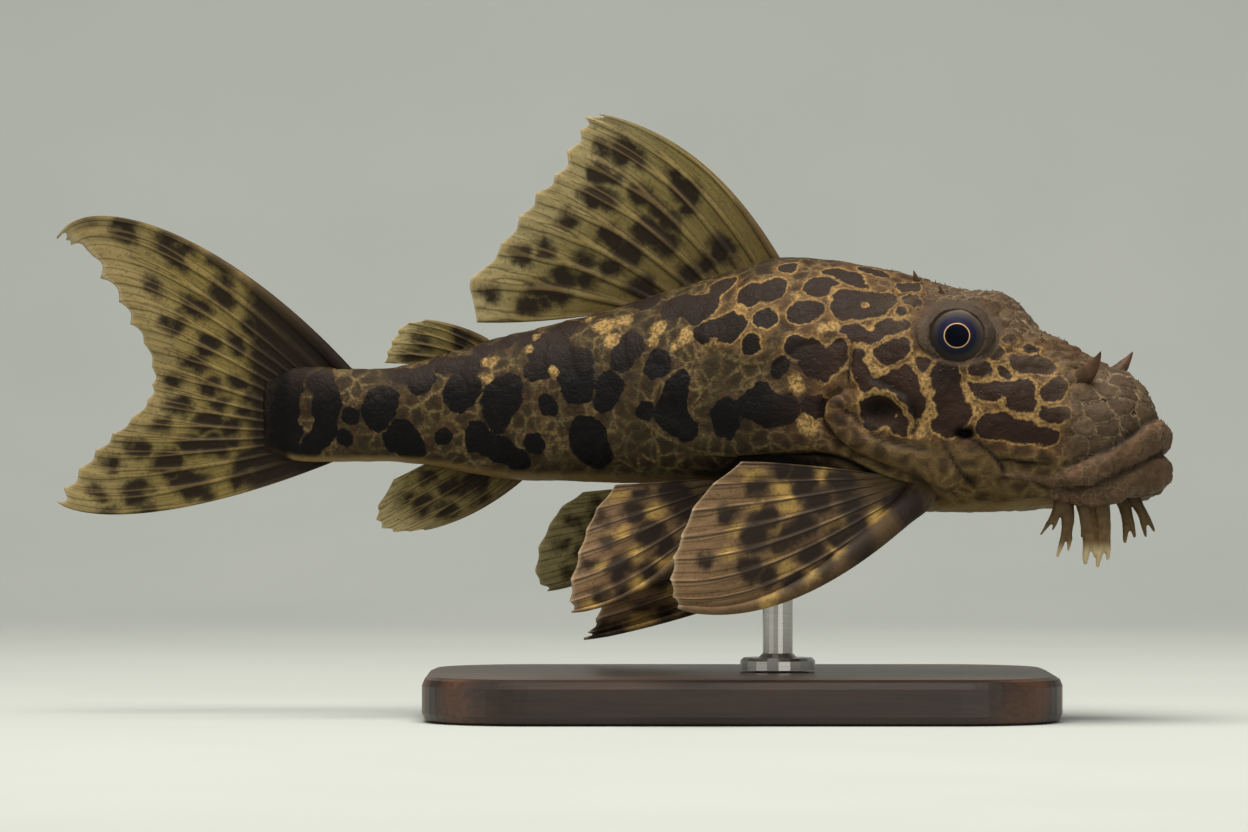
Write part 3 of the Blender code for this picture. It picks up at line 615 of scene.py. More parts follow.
# Gold patches and dots
GOLD = (
    (-17.8, 52.2, 1.6), (-15.1, 52.8, 1.1), (-20.0, 53.1, 0.8), (-16.8, 50.2, 1.3), (-10.0, 51.7, 1.3),
    (-10.7, 50.1, 1.1), (-5.8, 50.9, 1.2), (-7.7, 49.5, 0.8), (-33.3, 47.5, 0.9), (-33.7, 45.1, 0.9),
    (-27.3, 50.6, 0.9), (-28.2, 48.9, 0.8), (-24.9, 45.7, 0.8), (1.8, 54.2, 1.1), (19.1, 54.8, 0.7),
    (20.3, 51.7, 0.7), (24.7, 40.0, 0.5), (37.4, 41.8, 0.7), (45.1, 43.4, 0.4), (14.6, 56.8, 0.7),
    (14.5, 55.6, 0.6), (9.6, 56.2, 0.7), (15.6, 52.0, 0.9), (13.9, 51.6, 1.0), (21.0, 49.0, 0.7),
    (20.8, 47.6, 0.7), (21.7, 46.2, 0.8), (23.0, 46.2, 0.5), (28.4, 44.6, 0.8), (28.9, 43.0, 0.8),
    (29.0, 41.3, 0.8), (28.9, 40.0, 0.9), (27.8, 38.6, 1.1), (26.6, 38.1, 0.8), (33.1, 43.4, 0.5),
    (33.4, 42.3, 0.6), (34.7, 40.9, 0.7), (10.8, 44.2, 1.2), (20.0, 42.9, 0.7), (12.9, 39.0, 1.5),
)

# Hollows and swellings: along, up, half length, half height, rise
FORMS = (
    (30.6, 50.0, 9.0, 8.0, 1.2),
    (22.6, 40.9, 3.8, 2.6, -1.7),
    (27.6, 43.6, 4.6, 4.6, 0.8),
    (32.9, 33.6, 3.0, 3.2, 0.7),
    (40.0, 31.6, 4.0, 2.2, -0.7),
    (44.5, 39.5, 8.0, 3.4, 0.5),
    (38.4, 42.6, 5.0, 3.0, 0.45),
    (9.0, 33.0, 12.0, 2.8, -1.9),
    (4.0, 50.6, 6.0, 2.6, 0.5),
    (6.0, 40.2, 10.0, 4.6, 0.6),
    (-8.0, 44.0, 5.0, 4.0, 0.4),
    (27.0, 53.4, 3.4, 2.0, -0.5),
    (39.4, 47.4, 4.2, 1.7, 0.35),
    (33.3, 37.9, 1.6, 1.0, -1.5),  # the notch behind the corner of the mouth
)
BROW = (33.9, 5.7, 9.0, 1.6)  # swollen roof between the eyes: along, its half length, half width, how high
# The hollow under the gill cover's fold, above the root of the front fin
UNDERCUT = ((2.0, 34.6), (8.0, 34.2), (13.5, 35.2), (18.2, 34.4), (22.4, 32.2), (26.4, 30.8))
UNDERCUT_TOP = 37.0

# Depths of shade: along, up, half length, half height, how dark
SHADES = (
    (33.3, 37.9, 1.5, 1.0, 1.8),
    (22.0, 41.2, 2.6, 1.5, 0.8),
    (5.0, 32.6, 15.0, 3.0, 1.1),
    (30.7, 45.8, 2.6, 2.4, 0.5),
)


def inside_discs(places, discs, melt=0.5):
    """How deep each place is inside the discs, melted together over a short length. Negative outside."""
    s, z, radii = np.array(discs).T
    centres = np.stack((s, flank_width(s, z), z), axis=1)
    depth = radii[:, None] - np.linalg.norm(places[None] - centres[:, None], axis=2)
    return melt * np.log(np.sum(np.exp(np.clip(depth, -30, 30) / melt), axis=0))


def markings(places):
    """How deep each place is inside the nearest dark blotch, how far it is from the border to the
    next blotch, and how gold it is."""
    best = np.full(len(places), -20.0)
    second = best.copy()
    for discs in BLOTCHES:
        depth = inside_discs(places, discs)
        second = np.maximum(second, np.minimum(best, depth))
        best = np.maximum(best, depth)
    return best, (best - second) / 2, inside_discs(places, GOLD, 0.25)


def skin_forms(points, on_lip):
    """How far the skin stands out from the plain body at each point, how much painted shade darkens its
    creases, and where a crease is only a thin pale line."""
    s, t, z = points.T
    top, belly, half, _ = section(s)
    rise, joint_and_crease_shade, pale = np.zeros((3, len(s)))
    side = smoothstep(np.abs(t) / half * 2.5)
    for place_s, place_z, along, up, lift in FORMS:
        rise += lift * hill(np.hypot((s - place_s) / along, (z - place_z) / up)) * side
    brow_s, brow_long, brow_wide, brow_high = BROW
    rise += brow_high * hill(t / brow_wide) * hill((s - brow_s) / brow_long) * (z > (top + belly) / 2)
    flank = smoothstep((np.abs(t) / half - 0.45) / 0.25)
    for line, lift, width, depth in CREASES.values():
        far, along, length = to_line(points, smooth_line(line))
        ends = smoothstep(along / 2.0) * smoothstep((length - along) / 2.0) * flank
        rise += lift * np.exp(-(((far - width * 0.5) / width) ** 2)) * (far > 0) * ends
        rise += lift * np.exp(-0.25) * np.exp(-((far / 0.25) ** 2)) * (far <= 0) * ends
        rise -= depth * np.exp(-(((far + 0.3) / 0.55) ** 2)) * ends
        # A deep crease gets a line of painted shade along its bottom, a shallow one a thin pale line
        if depth > SHALLOW:
            joint_and_crease_shade = np.maximum(joint_and_crease_shade, np.exp(-(((far + 0.15) / 0.3) ** 2)) * ends)
        else:
            pale = np.maximum(pale, np.exp(-((far / 0.22) ** 2)) * ends)
    # The hollow under the gill cover's fold is in deep shade
    far = to_line(points, smooth_line(UNDERCUT))[0]
    under = smoothstep((1.2 - np.abs(far + 0.6)) / 1.2) * (z < UNDERCUT_TOP) * flank
    rise -= 0.8 * under
    joint_and_crease_shade = np.maximum(joint_and_crease_shade, 1.05 * under)
    return rise * (1 - on_lip), joint_and_crease_shade, pale


def scutes(points):
    """The rise of the rows of scutes, and how near each point is to a scute's rear edge."""
    s, t, z = points.T
    turn = turn_from_back(s, t, z)
    row = turn / SCUTE_TURN
    bow = SCUTE_BOW * np.sin(math.pi * (row % 1.0))
    share = (SCUTE_FRONT - s - bow) / SCUTE_LENGTH + 0.5 * (np.floor(row) % 2)
    f = share % 1.0
    step = smoothstep(f / 0.85) * (1 - smoothstep((f - 0.9) / 0.1))
    groove = smoothstep(np.minimum(row % 1.0, 1 - row % 1.0) * SCUTE_TURN / 3.0)
    there = smoothstep((2 - s) / 10) * (turn < SCUTE_TURN * SCUTE_ROWS) * np.clip(section(s)[2] / 6, 0.3, 1.0)
    rise = SCUTE_LIFT * (step * (0.4 + 0.6 * groove) - 0.3) * there
    return rise, there * np.exp(-(((f - 0.93) / 0.06) ** 2))


def mouth_lines(shapes, points):
    """Which points lie on the lips, how deep the creases round them are, and the thin line of painted shade
    in each.
    """
    face = points[:, 0] > FACE_FROM
    far = {name: np.full(len(points), 9.0) for name in shapes}
    for name, shape in shapes.items():
        far[name][face] = distance_to(shape, points[face])
    lip_far = np.minimum(far["upper"], far["lower"])
    on_lip = smoothstep((far["body"] - 0.2) / 0.25) * (lip_far < 0.4)
    seam = np.hypot(far["body"], lip_far)
    mouth = np.hypot(far["upper"], far["lower"])
    front = smoothstep((points[:, 0] - CHEEK_END) / 4)
    # The creases sink the skin; the line is painted shade along the same creases
    crease, line = (
        np.maximum(np.exp(-((seam / seam_wide) ** 2)) * front, np.exp(-((mouth / mouth_wide) ** 2))) * face
        for seam_wide, mouth_wide in ((0.5, 0.55), (0.3, 0.4))
    )
    return on_lip, crease, line


def head_plates(points):
    """The rise of the bony plates of the head, how far each point is from its plate's border,
    and a chance tone for each plate."""
    s, _, z = points.T
    head = s > NECK
    warped = (points + 0.8 * drift(points, 2.6, 1) + 0.25 * drift(points, 0.8, 4)) * PLATE_SHAPE
    big = head & (s > 41) & (z < 47)
    large, small = spread(warped[big], PLATE_LARGE, 11), spread(warped[head & ~big], PLATE_SMALL, 12)
    middles = np.concatenate((large, small))
    size = np.repeat((PLATE_LARGE, PLATE_SMALL), (len(large), len(small)))
    number = np.zeros(len(s), int)
    border = np.full(len(s), 1.0)
    number[head], border[head] = plates(warped[head], middles)
    tone = np.random.default_rng(5).uniform(-1, 1, len(middles))[number]
    ahead, _, over = ((warped - middles[number]) / size[number][:, None]).T
    rise = 0.34 * (smoothstep(border / 0.36) - 0.6) + 0.1 * tone + 0.2 * ahead - 0.12 * over
    return rise + 0.07 * grain(points, 0.6, 28), border, tone


def soft_folds(points, from_eye, on_lip):
    """The rise of wrinkles and lumps: round the eyes, over the head and body, and on the lips."""
    s = points[:, 0]
    creased = 1 - np.abs(grain(points * (1, 1, 1.6), 1.5, 25)) * 4
    leather = np.clip(creased, 0, 1) ** 2 * smoothstep((s + 10) / 30)
    wrinkle = np.sin(from_eye * 7 + 1.5 * grain(points, 2.0, 27)) * smoothstep((6.6 - from_eye) / 1.6)
    lump = smoothstep((s - 14) / 8)
    rise = 0.14 * wrinkle * (from_eye > 4.4) - 0.09 * leather
    rise += (0.12 + 0.14 * lump) * grain(points, 2.6, 22) + (0.03 + 0.07 * lump) * grain(points, 0.9, 23)
    rise += on_lip * (0.3 * grain(points * (1.0, 1.0, 0.4), 0.9, 24) + 0.2 * grain(points, 2.4, 26))
    return rise - on_lip * 0.12 * np.clip(1 - np.abs(grain(points * (1, 1, 0.6), 1.2, 29)) * 5, 0, 1)


def make_skin(look):
    """The one skin of head, trunk and tail stalk, with the values that its material reads."""
    shapes = {"body": body_loft(), "upper": lip(UPPER_LIP), "lower": lip(LOWER_LIP)}
    obj = melted("armoured_skin", [*shapes.values(), lid(-1), lid(1)], SKIN_GRID)
    mesh = obj.data
    points = relax(mesh, 3)
    normals = read(mesh, "normal")
    s, t, z = points.T
    turn = turn_from_back(s, t, z)
    eyes = np.array([EYE_PLACE * (1, side, 1) for side in (-1, 1)])
    from_eye = np.min(np.linalg.norm(points[None] - eyes[:, None], axis=2), axis=0)

    # Each lip crease sinks the skin and carries a thin line of painted shade
    on_lip, crease, lip_crease_shade = mouth_lines(shapes, points)
    rise, joint_and_crease_shade, pale = skin_forms(points, on_lip)
    scute_rise, scute_edge = scutes(points)
    plate_rise, border, tone = head_plates(points)
    snout = smoothstep((s - 42.5) / 5) + smoothstep((s - 33) / 5) * smoothstep((z - 48.0) / 3)
    rough = np.clip(snout + 0.8 * smoothstep((s - NECK) / 8) * smoothstep((60 - turn) / 30), 0.0, 1.0)
    rough *= (1 - on_lip) * smoothstep((z - 32.8) / 1.5) * smoothstep((from_eye - 5.4) / 1.0)
    rise += scute_rise + rough * plate_rise + soft_folds(points, from_eye, on_lip) - 0.45 * crease

    # The markings have ragged borders, and the far side's differ from the near side's
    ragged = 0.45 * drift(points, 2.4, 31) + 0.25 * drift(points, 0.9, 37)
    far_side = 1.5 * drift(points, 7.0, 34) * (t > 0)[:, None]
    best, between, gold = markings(np.stack((s, np.abs(t), z), axis=1) + ragged + far_side)
    netted = np.maximum(smoothstep((s - 12) / 5), smoothstep((s + 8) / 8) * smoothstep((z - 47) / 3))
    mark = np.minimum(best + 0.3, between - 0.05 - 0.25 * netted)
    mark = np.minimum(mark, 0.1 - gold)
    shade = 0.9 * smoothstep((-59.6 - s) / 1.2)  # dark rim of the tail stalk
    for place_s, place_z, along, up, dark in SHADES:
        shade = np.maximum(shade, dark * hill(np.hypot((s - place_s) / along, (z - place_z) / up) * 0.8))
    plain_head = smoothstep((s - 44.0) / 4.0) + smoothstep((s - 33) / 4) * smoothstep((z - 49.5) / 2.5)
    plain_head = np.clip(plain_head + smoothstep((s - 25) / 3) * smoothstep((z - 53.4) / 1.4), 0, 1)
    under_head = smoothstep((s - 14) / 4) * smoothstep((37.4 - 0.12 * (s - 28) - z) / 1.4)
    round_body = (turn * np.where(t < 0, -1, 1) + 180) / 360
    keep(
        mesh,
        mark=mark - 2 * plain_head - 2 * on_lip - 1.2 * under_head,
        gold=gold - 2 * plain_head - 2 * on_lip,
        netted=netted * (1 - plain_head) * (1 - under_head) * (1 - on_lip),
        # Painted shade in the hollows, the deep creases and the creases round the lips, and the tail stalk's
        # dark rim
        shade=np.clip(np.maximum(shade, 0.95 * np.maximum(lip_crease_shade, joint_and_crease_shade)), 0, 1),
        border=np.where(rough > 0.05, border, 1.0),
        tone=tone * (rough > 0.05),
        rough=rough,
        snout=np.clip(plain_head + on_lip, 0, 1),
        lip=on_lip,
        front=smoothstep((s - 4) / 14),
        under=under_head,
        low=smoothstep((turn - 138) / 20) * (1 - on_lip),
        # Painted light: near the back the blotches are lighter, where the top light falls
        high=smoothstep((75 - turn) / 50),
        scute_edge=np.maximum(0.3 * scute_edge, 0.8 * pale),
        from_eye=from_eye,
        unwrap=np.stack(((s + 64) / 122, round_body, 0 * s), axis=1),
    )
    points = open_lids(points + normals * rise[:, None])
    s, t, z = points.T
    turn = turn_from_back(s, t, z)
    teeth = smoothstep((s - 14) / 10) * smoothstep((80 - turn) / 25) * smoothstep((from_eye - 5.2) / 0.8)
    keep(mesh, teeth=0.9 * teeth)
    return finished(obj, points, look)


# Fins. Each key is: share across the fin, root along and up, tip along and up, bow forwards.
# The lean is: side, root along, to the side and up, then the way out for each millimetre back or down
UPRIGHT = (1, 0.0, 0.0, 0.0, 0.0, 0.0)
FINS = {
    "dorsal_fin": {
        "keys": (
            (0.0, 4.8, 61.1, -18.7, 80.4, 0.105),
            (0.1, 2.4, 60.6, -20.6, 80.2, 0.09),
            (0.25, -0.7, 59.6, -22.1, 77.9, 0.08),
            (0.4, -3.8, 58.6, -24.1, 73.5, 0.06),
            (0.55, -7.0, 57.6, -27.1, 70.0, 0.05),
            (0.7, -10.4, 56.4, -30.5, 65.8, 0.04),
            (0.82, -13.4, 55.5, -33.4, 61.5, 0.03),
            (0.92, -16.3, 54.5, -36.7, 57.0, 0.02),
            (1.0, -19.8, 53.5, -35.4, 52.6, -0.02),
        ),
        "rays": 10, "sink": (1.6, -3.0), "notch": 0.04, "spine": 0.55, "pleat": 0.22, "lean": UPRIGHT,
        "look": "olive",
        "dark": (
            (0.23, 0.76, 1.6), (0.26, 0.85, 1.1), (0.22, 0.69, 1.1), (0.36, 0.81, 1.6), (0.35, 0.75, 1.1),
            (0.47, 0.75, 1.6), (0.46, 0.69, 1.3), (0.62, 0.74, 1.3), (0.75, 0.73, 1.0), (0.80, 0.83, 1.3),
            (0.18, 0.44, 1.8), (0.24, 0.36, 1.3), (0.17, 0.50, 1.1), (0.35, 0.55, 1.6), (0.35, 0.47, 1.4),
            (0.35, 0.37, 1.6), (0.46, 0.39, 1.8), (0.46, 0.29, 1.6), (0.60, 0.48, 1.6), (0.60, 0.35, 1.8),
            (0.73, 0.49, 1.3), (0.72, 0.34, 1.4), (0.83, 0.49, 1.6), (0.82, 0.37, 1.4), (0.90, 0.53, 1.6),
            (0.91, 0.41, 1.4), (0.96, 0.56, 1.4), (0.95, 0.45, 1.1), (0.24, 0.12, 1.6), (0.26, 0.07, 1.1),
            (0.36, 0.08, 1.4), (0.49, 0.06, 1.3), (0.72, 0.08, 1.6), (0.77, 0.09, 1.1), (0.93, 0.85, 1.1),
        ),
    },
    "adipose_fin": {
        "keys": (
            (0.0, -34.0, 50.1, -42.2, 52.9, 0.05),
            (0.3, -36.2, 49.5, -45.2, 52.3, 0.05),
            (0.6, -38.5, 48.8, -46.6, 50.2, 0.03),
            (1.0, -43.4, 47.0, -47.6, 47.2, 0.0),
        ),
        "rays": 6, "sink": (1.5, -2.0), "notch": 0.06, "spine": 0.5, "pleat": 0.15, "lean": UPRIGHT,
        "look": "olive",
        "dark": ((0.54, 0.53, 1.1), (0.81, 0.45, 1.0), (0.1, 0.25, 1.2), (0.3, 0.1, 0.9)),
    },
    "anal_fin": {
        "keys": (
            (0.0, -29.4, 31.8, -42.2, 24.9, -0.06),
            (0.3, -32.5, 32.0, -46.0, 24.5, -0.03),
            (0.6, -36.1, 32.6, -48.7, 25.6, 0.0),
            (0.85, -39.4, 33.2, -48.3, 28.4, 0.0),
            (1.0, -42.1, 33.7, -46.3, 31.6, 0.0),
        ),
        "rays": 7, "sink": (1.0, 2.5), "notch": 0.05, "spine": 0.5, "pleat": 0.2, "lean": UPRIGHT,
        "look": "olive",
        "dark": (
            (0.57, 0.22, 1.2), (0.53, 0.56, 1.2), (0.29, 0.53, 1.2), (0.82, 0.3, 0.9), (0.43, 0.13, 1.8),
            (0.72, 0.62, 0.8), (0.1, 0.35, 1.0),
        ),
    },
    "caudal_fin": {
        "keys": (
            (0.0, -52.4, 45.9, -91.3, 63.9, 0.138),
            (0.04, -54.7, 45.9, -90.6, 63.5, 0.13),
            (0.08, -56.9, 45.8, -89.3, 62.9, 0.11),
            (0.16, -58.4, 45.2, -86.7, 60.2, 0.08),
            (0.28, -60.0, 43.9, -82.8, 54.5, 0.06),
            (0.4, -61.0, 42.4, -79.9, 49.7, 0.03),
            (0.5, -61.3, 40.7, -78.6, 45.4, 0.0),
            (0.6, -61.3, 39.0, -79.4, 42.5, -0.01),
            (0.72, -61.0, 37.4, -83.4, 38.2, -0.02),
            (0.84, -60.0, 36.0, -87.7, 34.5, -0.04),
            (0.93, -57.5, 35.0, -90.8, 31.3, -0.065),
            (1.0, -52.8, 34.6, -92.0, 29.9, -0.093),
        ),
        "rays": 16, "sink": (6.0, 0.0), "notch": 0.03, "spine": 0.95, "pleat": 0.12, "lean": UPRIGHT,
        "look": "golden", "hooked": True, "dip": 1.8,
        "dark": (
            (0.01, 0.83, 1.5), (0.07, 0.83, 1.3), (0.02, 0.67, 1.3), (0.06, 0.68, 1.3), (0.07, 0.63, 1.5),
            (0.03, 0.61, 1.0), (0.20, 0.78, 1.1), (0.20, 0.56, 1.6), (0.19, 0.61, 0.8), (0.09, 0.44, 1.5),
            (0.10, 0.41, 1.0), (0.05, 0.45, 1.0), (0.30, 0.73, 1.3), (0.32, 0.52, 1.3), (0.25, 0.36, 1.1),
            (0.26, 0.33, 1.0), (0.41, 0.64, 1.5), (0.12, 0.27, 1.3), (0.07, 0.27, 1.1), (0.49, 0.83, 1.0),
            (0.48, 0.55, 1.3), (0.43, 0.33, 1.0), (0.60, 0.76, 1.3), (0.54, 0.47, 1.1), (0.47, 0.25, 1.0),
            (0.57, 0.26, 1.0), (0.68, 0.78, 1.3), (0.64, 0.50, 1.6), (0.66, 0.34, 1.3), (0.77, 0.81, 1.5),
            (0.76, 0.50, 1.6), (0.77, 0.39, 1.6), (0.75, 0.31, 1.0), (0.84, 0.86, 1.1), (0.85, 0.58, 1.9),
            (0.93, 0.86, 1.1), (0.92, 0.70, 1.5), (0.96, 0.71, 1.3), (0.92, 0.48, 1.9), (0.96, 0.47, 1.3),
            (0.91, 0.54, 1.0), (0.89, 0.23, 1.6), (0.95, 0.30, 1.5), (0.86, 0.19, 1.0), (1.00, 0.82, 1.0),
            (1.00, 0.69, 1.0), (0.99, 0.47, 1.2), (0.0, 0.93, 0.9), (0.0, 0.5, 1.6), (0.0, 0.33, 1.6),
            (0.0, 0.12, 2.2), (0.06, 0.12, 1.8), (0.14, 0.08, 1.5), (0.24, 0.06, 1.4), (0.35, 0.05, 1.3),
            (0.46, 0.05, 1.3), (0.57, 0.05, 1.3), (0.68, 0.06, 1.4), (0.8, 0.07, 1.5), (0.92, 0.1, 1.8),
        ),
    },
    "pectoral_fin_right": {
        "keys": (
            (0.0, 26.8, 29.5, -4.0, 15.6, -0.145),
            (0.2, 26.0, 30.2, -5.4, 17.6, -0.1),
            (0.4, 25.3, 30.7, -4.9, 21.4, -0.07),
            (0.6, 24.5, 31.2, -3.9, 25.4, -0.03),
            (0.8, 23.8, 31.7, -0.7, 30.3, 0.0),
            (1.0, 23.0, 32.3, 4.3, 34.1, 0.02),
        ),
        "rays": 8, "sink": (1.0, 3.0), "notch": 0.014, "spine": 1.75, "pleat": 0.75,
        "lean": (-1, 25.1, 13.0, 31.1, 0.6, 0.3), "look": "brown", "knob": 0.2,
        "dark": (
            (0.80, 0.69, 1.4), (0.78, 0.43, 1.6), (0.58, 0.58, 2.0), (0.48, 0.62, 2.0), (0.37, 0.51, 1.4),
            (0.46, 0.40, 1.6), (0.43, 0.46, 1.4), (0.28, 0.65, 1.8), (0.19, 0.58, 1.4), (0.07, 0.51, 1.4),
            (0.22, 0.40, 1.6), (0.04, 0.36, 1.4), (0.24, 0.28, 1.6), (0.22, 0.21, 1.5), (0.03, 0.22, 1.6),
            (0.17, 0.06, 1.9), (0.0, 0.05, 2.5), (0.0, 0.26, 2.1), (0.0, 0.4, 1.5), (0.9, 0.5, 1.6),
            (0.62, 0.34, 1.8), (0.8, 0.25, 1.8), (0.5, 0.2, 1.6), (0.95, 0.65, 1.4), (0.66, 0.78, 1.4),
            (0.42, 0.86, 1.2),
        ),
        "light": (
            (0.79, 0.55, 1.2), (0.89, 0.79, 1.2), (0.72, 0.50, 1.0), (0.52, 0.54, 0.9), (0.58, 0.72, 1.1),
            (0.71, 0.66, 1.0), (0.33, 0.52, 1.0), (0.43, 0.75, 1.1), (0.17, 0.50, 1.1), (0.09, 0.31, 1.4),
            (0.31, 0.28, 1.1), (0.15, 0.13, 1.4), (0.90, 0.36, 1.2), (0.63, 0.47, 1.1), (0.02, 0.44, 1.3),
            (0.0, 0.62, 1.3),
        ),
    },
    "pectoral_fin_left": {
        "keys": (
            (0.0, 21.6, 30.4, -21.5, 9.4, -0.05),
            (0.2, 20.8, 30.8, -20.5, 11.0, -0.03),
            (0.5, 19.9, 31.4, -19.0, 16.4, 0.0),
            (0.8, 19.0, 32.0, -14.6, 23.2, 0.04),
            (1.0, 18.4, 32.6, -9.7, 28.7, 0.04),
        ),
        "rays": 8, "sink": (1.0, 3.0), "notch": 0.015, "spine": 1.35, "pleat": 0.5,
        "lean": (1, 25.1, 13.0, 31.1, 0.22, 0.2), "look": "brown",
        "light": ((0.12, 0.66, 1.6), (0.3, 0.75, 1.4), (0.1, 0.85, 1.4), (0.6, 0.6, 1.6), (0.8, 0.5, 1.4)),
    },
    "pelvic_fin_right": {
        "keys": (
            (0.0, 1.4, 30.1, -22.1, 14.4, -0.1),
            (0.22, 0.9, 30.3, -22.5, 16.5, -0.06),
            (0.45, 0.3, 30.7, -21.5, 21.2, -0.03),
            (0.7, -0.2, 31.1, -19.9, 25.9, 0.0),
            (1.0, -1.4, 31.9, -16.4, 31.0, 0.0),
        ),
        "rays": 7, "sink": (1.0, 3.0), "notch": 0.02, "spine": 1.0, "pleat": 0.6,
        "lean": (-1, 1.0, 7.5, 31.2, 0.2, 0.3), "look": "brown",
        "dark": (
            (0.70, 0.90, 1.0), (0.68, 0.66, 1.5), (0.42, 0.54, 1.7), (0.26, 0.45, 1.4), (0.50, 0.82, 0.9),
            (0.39, 0.92, 0.9), (0.27, 0.72, 1.6), (0.12, 0.57, 1.4), (0.05, 0.75, 1.0), (0.13, 0.85, 0.9),
            (0.5, 0.3, 1.8), (0.8, 0.4, 1.8), (0.2, 0.25, 1.6), (0.9, 0.7, 1.2),
        ),
        "light": (
            (0.32, 0.62, 1.2), (0.53, 0.74, 1.1), (0.06, 0.64, 1.2), (0.12, 0.48, 1.0), (0.62, 0.52, 1.1),
            (0.90, 0.87, 1.0), (0.35, 0.84, 0.9), (0.05, 0.9, 1.2),
        ),
    },
    "pelvic_fin_left": {
        "keys": (
            (0.0, -1.0, 30.1, -25.9, 16.4, -0.06),
            (0.25, -1.5, 30.4, -27.5, 18.0, -0.04),
            (0.5, -2.1, 30.7, -26.9, 22.5, -0.02),
            (0.75, -2.7, 31.0, -24.9, 26.8, 0.0),
            (1.0, -3.6, 31.5, -21.4, 29.8, 0.0),
        ),
        "rays": 7, "sink": (1.0, 3.0), "notch": 0.015, "spine": 0.8, "pleat": 0.24,
        "lean": (1, 1.0, 7.0, 31.2, 0.14, 0.2), "look": "pale",
        "dark": (
            (0.81, 0.79, 0.7), (0.63, 0.72, 0.8), (0.66, 0.85, 0.6), (0.48, 0.88, 0.6), (0.54, 0.77, 0.7),
            (0.24, 0.84, 0.7), (0.36, 0.77, 0.9), (0.3, 0.5, 1.2), (0.7, 0.45, 1.3), (0.5, 0.25, 1.4),
        ),
    },
}
FIN_FACE = 0.25  # size of a face of a fin across its tips
FIN_ROWS = 110
SPINE_ROWS = 90
SPINE_SIDES = 18
WEB_THICK = 0.24
RAY_THICK = 0.75
TIP_THICK = 0.34
FORK_FIRST = 0.42  # shares of a ray at which it forks, and forks again
FORK_SECOND = 0.74


def fin_place(fin, v, u):
    """Where a point of a fin's middle sheet lies. Where u is negative it sinks into the body."""
    keys = np.array(fin["keys"])
    root_s, root_z, tip_s, tip_z, bow = (through(keys[:, 0], keys[:, k], v) for k in range(1, 6))
    out = np.clip(u, 0.0, None)
    sunk = np.clip(-u / 0.1, 0.0, 1.0)
    if fin.get("hooked"):
        lift = 3 * out * np.sqrt(np.clip(1 - out, 0.0, None)) * bow
    else:
        lift = 4 * out * (1 - out) * (0.85 + 0.4 * out) * bow
    ahead_s, ahead_z = tip_s - root_s, tip_z - root_z
    s = root_s + ahead_s * out + ahead_z * lift + fin["sink"][0] * sunk
    z = root_z + ahead_z * out - ahead_s * lift + fin["sink"][1] * sunk
    side, lean_s, lean_t, lean_z, lean_back, lean_down = fin["lean"]
    t = side * (lean_t + lean_back * (lean_s - s) + lean_down * (lean_z - z)) if lean_s or lean_t else 0 * s
    return np.stack((s, t, z), axis=-1)


def ray_ridges(rays, v, u):
    """Height of the rays over the web between them, 0 to 1, where each ray forks twice towards its tips."""
    at = v * (rays - 1)
    first = 0.16 * smoothstep((u - FORK_FIRST) / 0.3)
    second = 0.07 * smoothstep((u - FORK_SECOND) / 0.2)
    width = 0.19 - 0.09 * smoothstep((u - 0.3) / 0.5)
    best = np.zeros(np.broadcast(at, u).shape)
    middle = np.round(at)
    for neighbour in (-1, 0, 1):
        for a in (-1, 1):
            for b in (-1, 1):
                off = (at - middle - neighbour - a * first - b * second) / width
                best = np.maximum(best, np.clip(1 - off * off, 0.0, None))
    return np.sqrt(best)


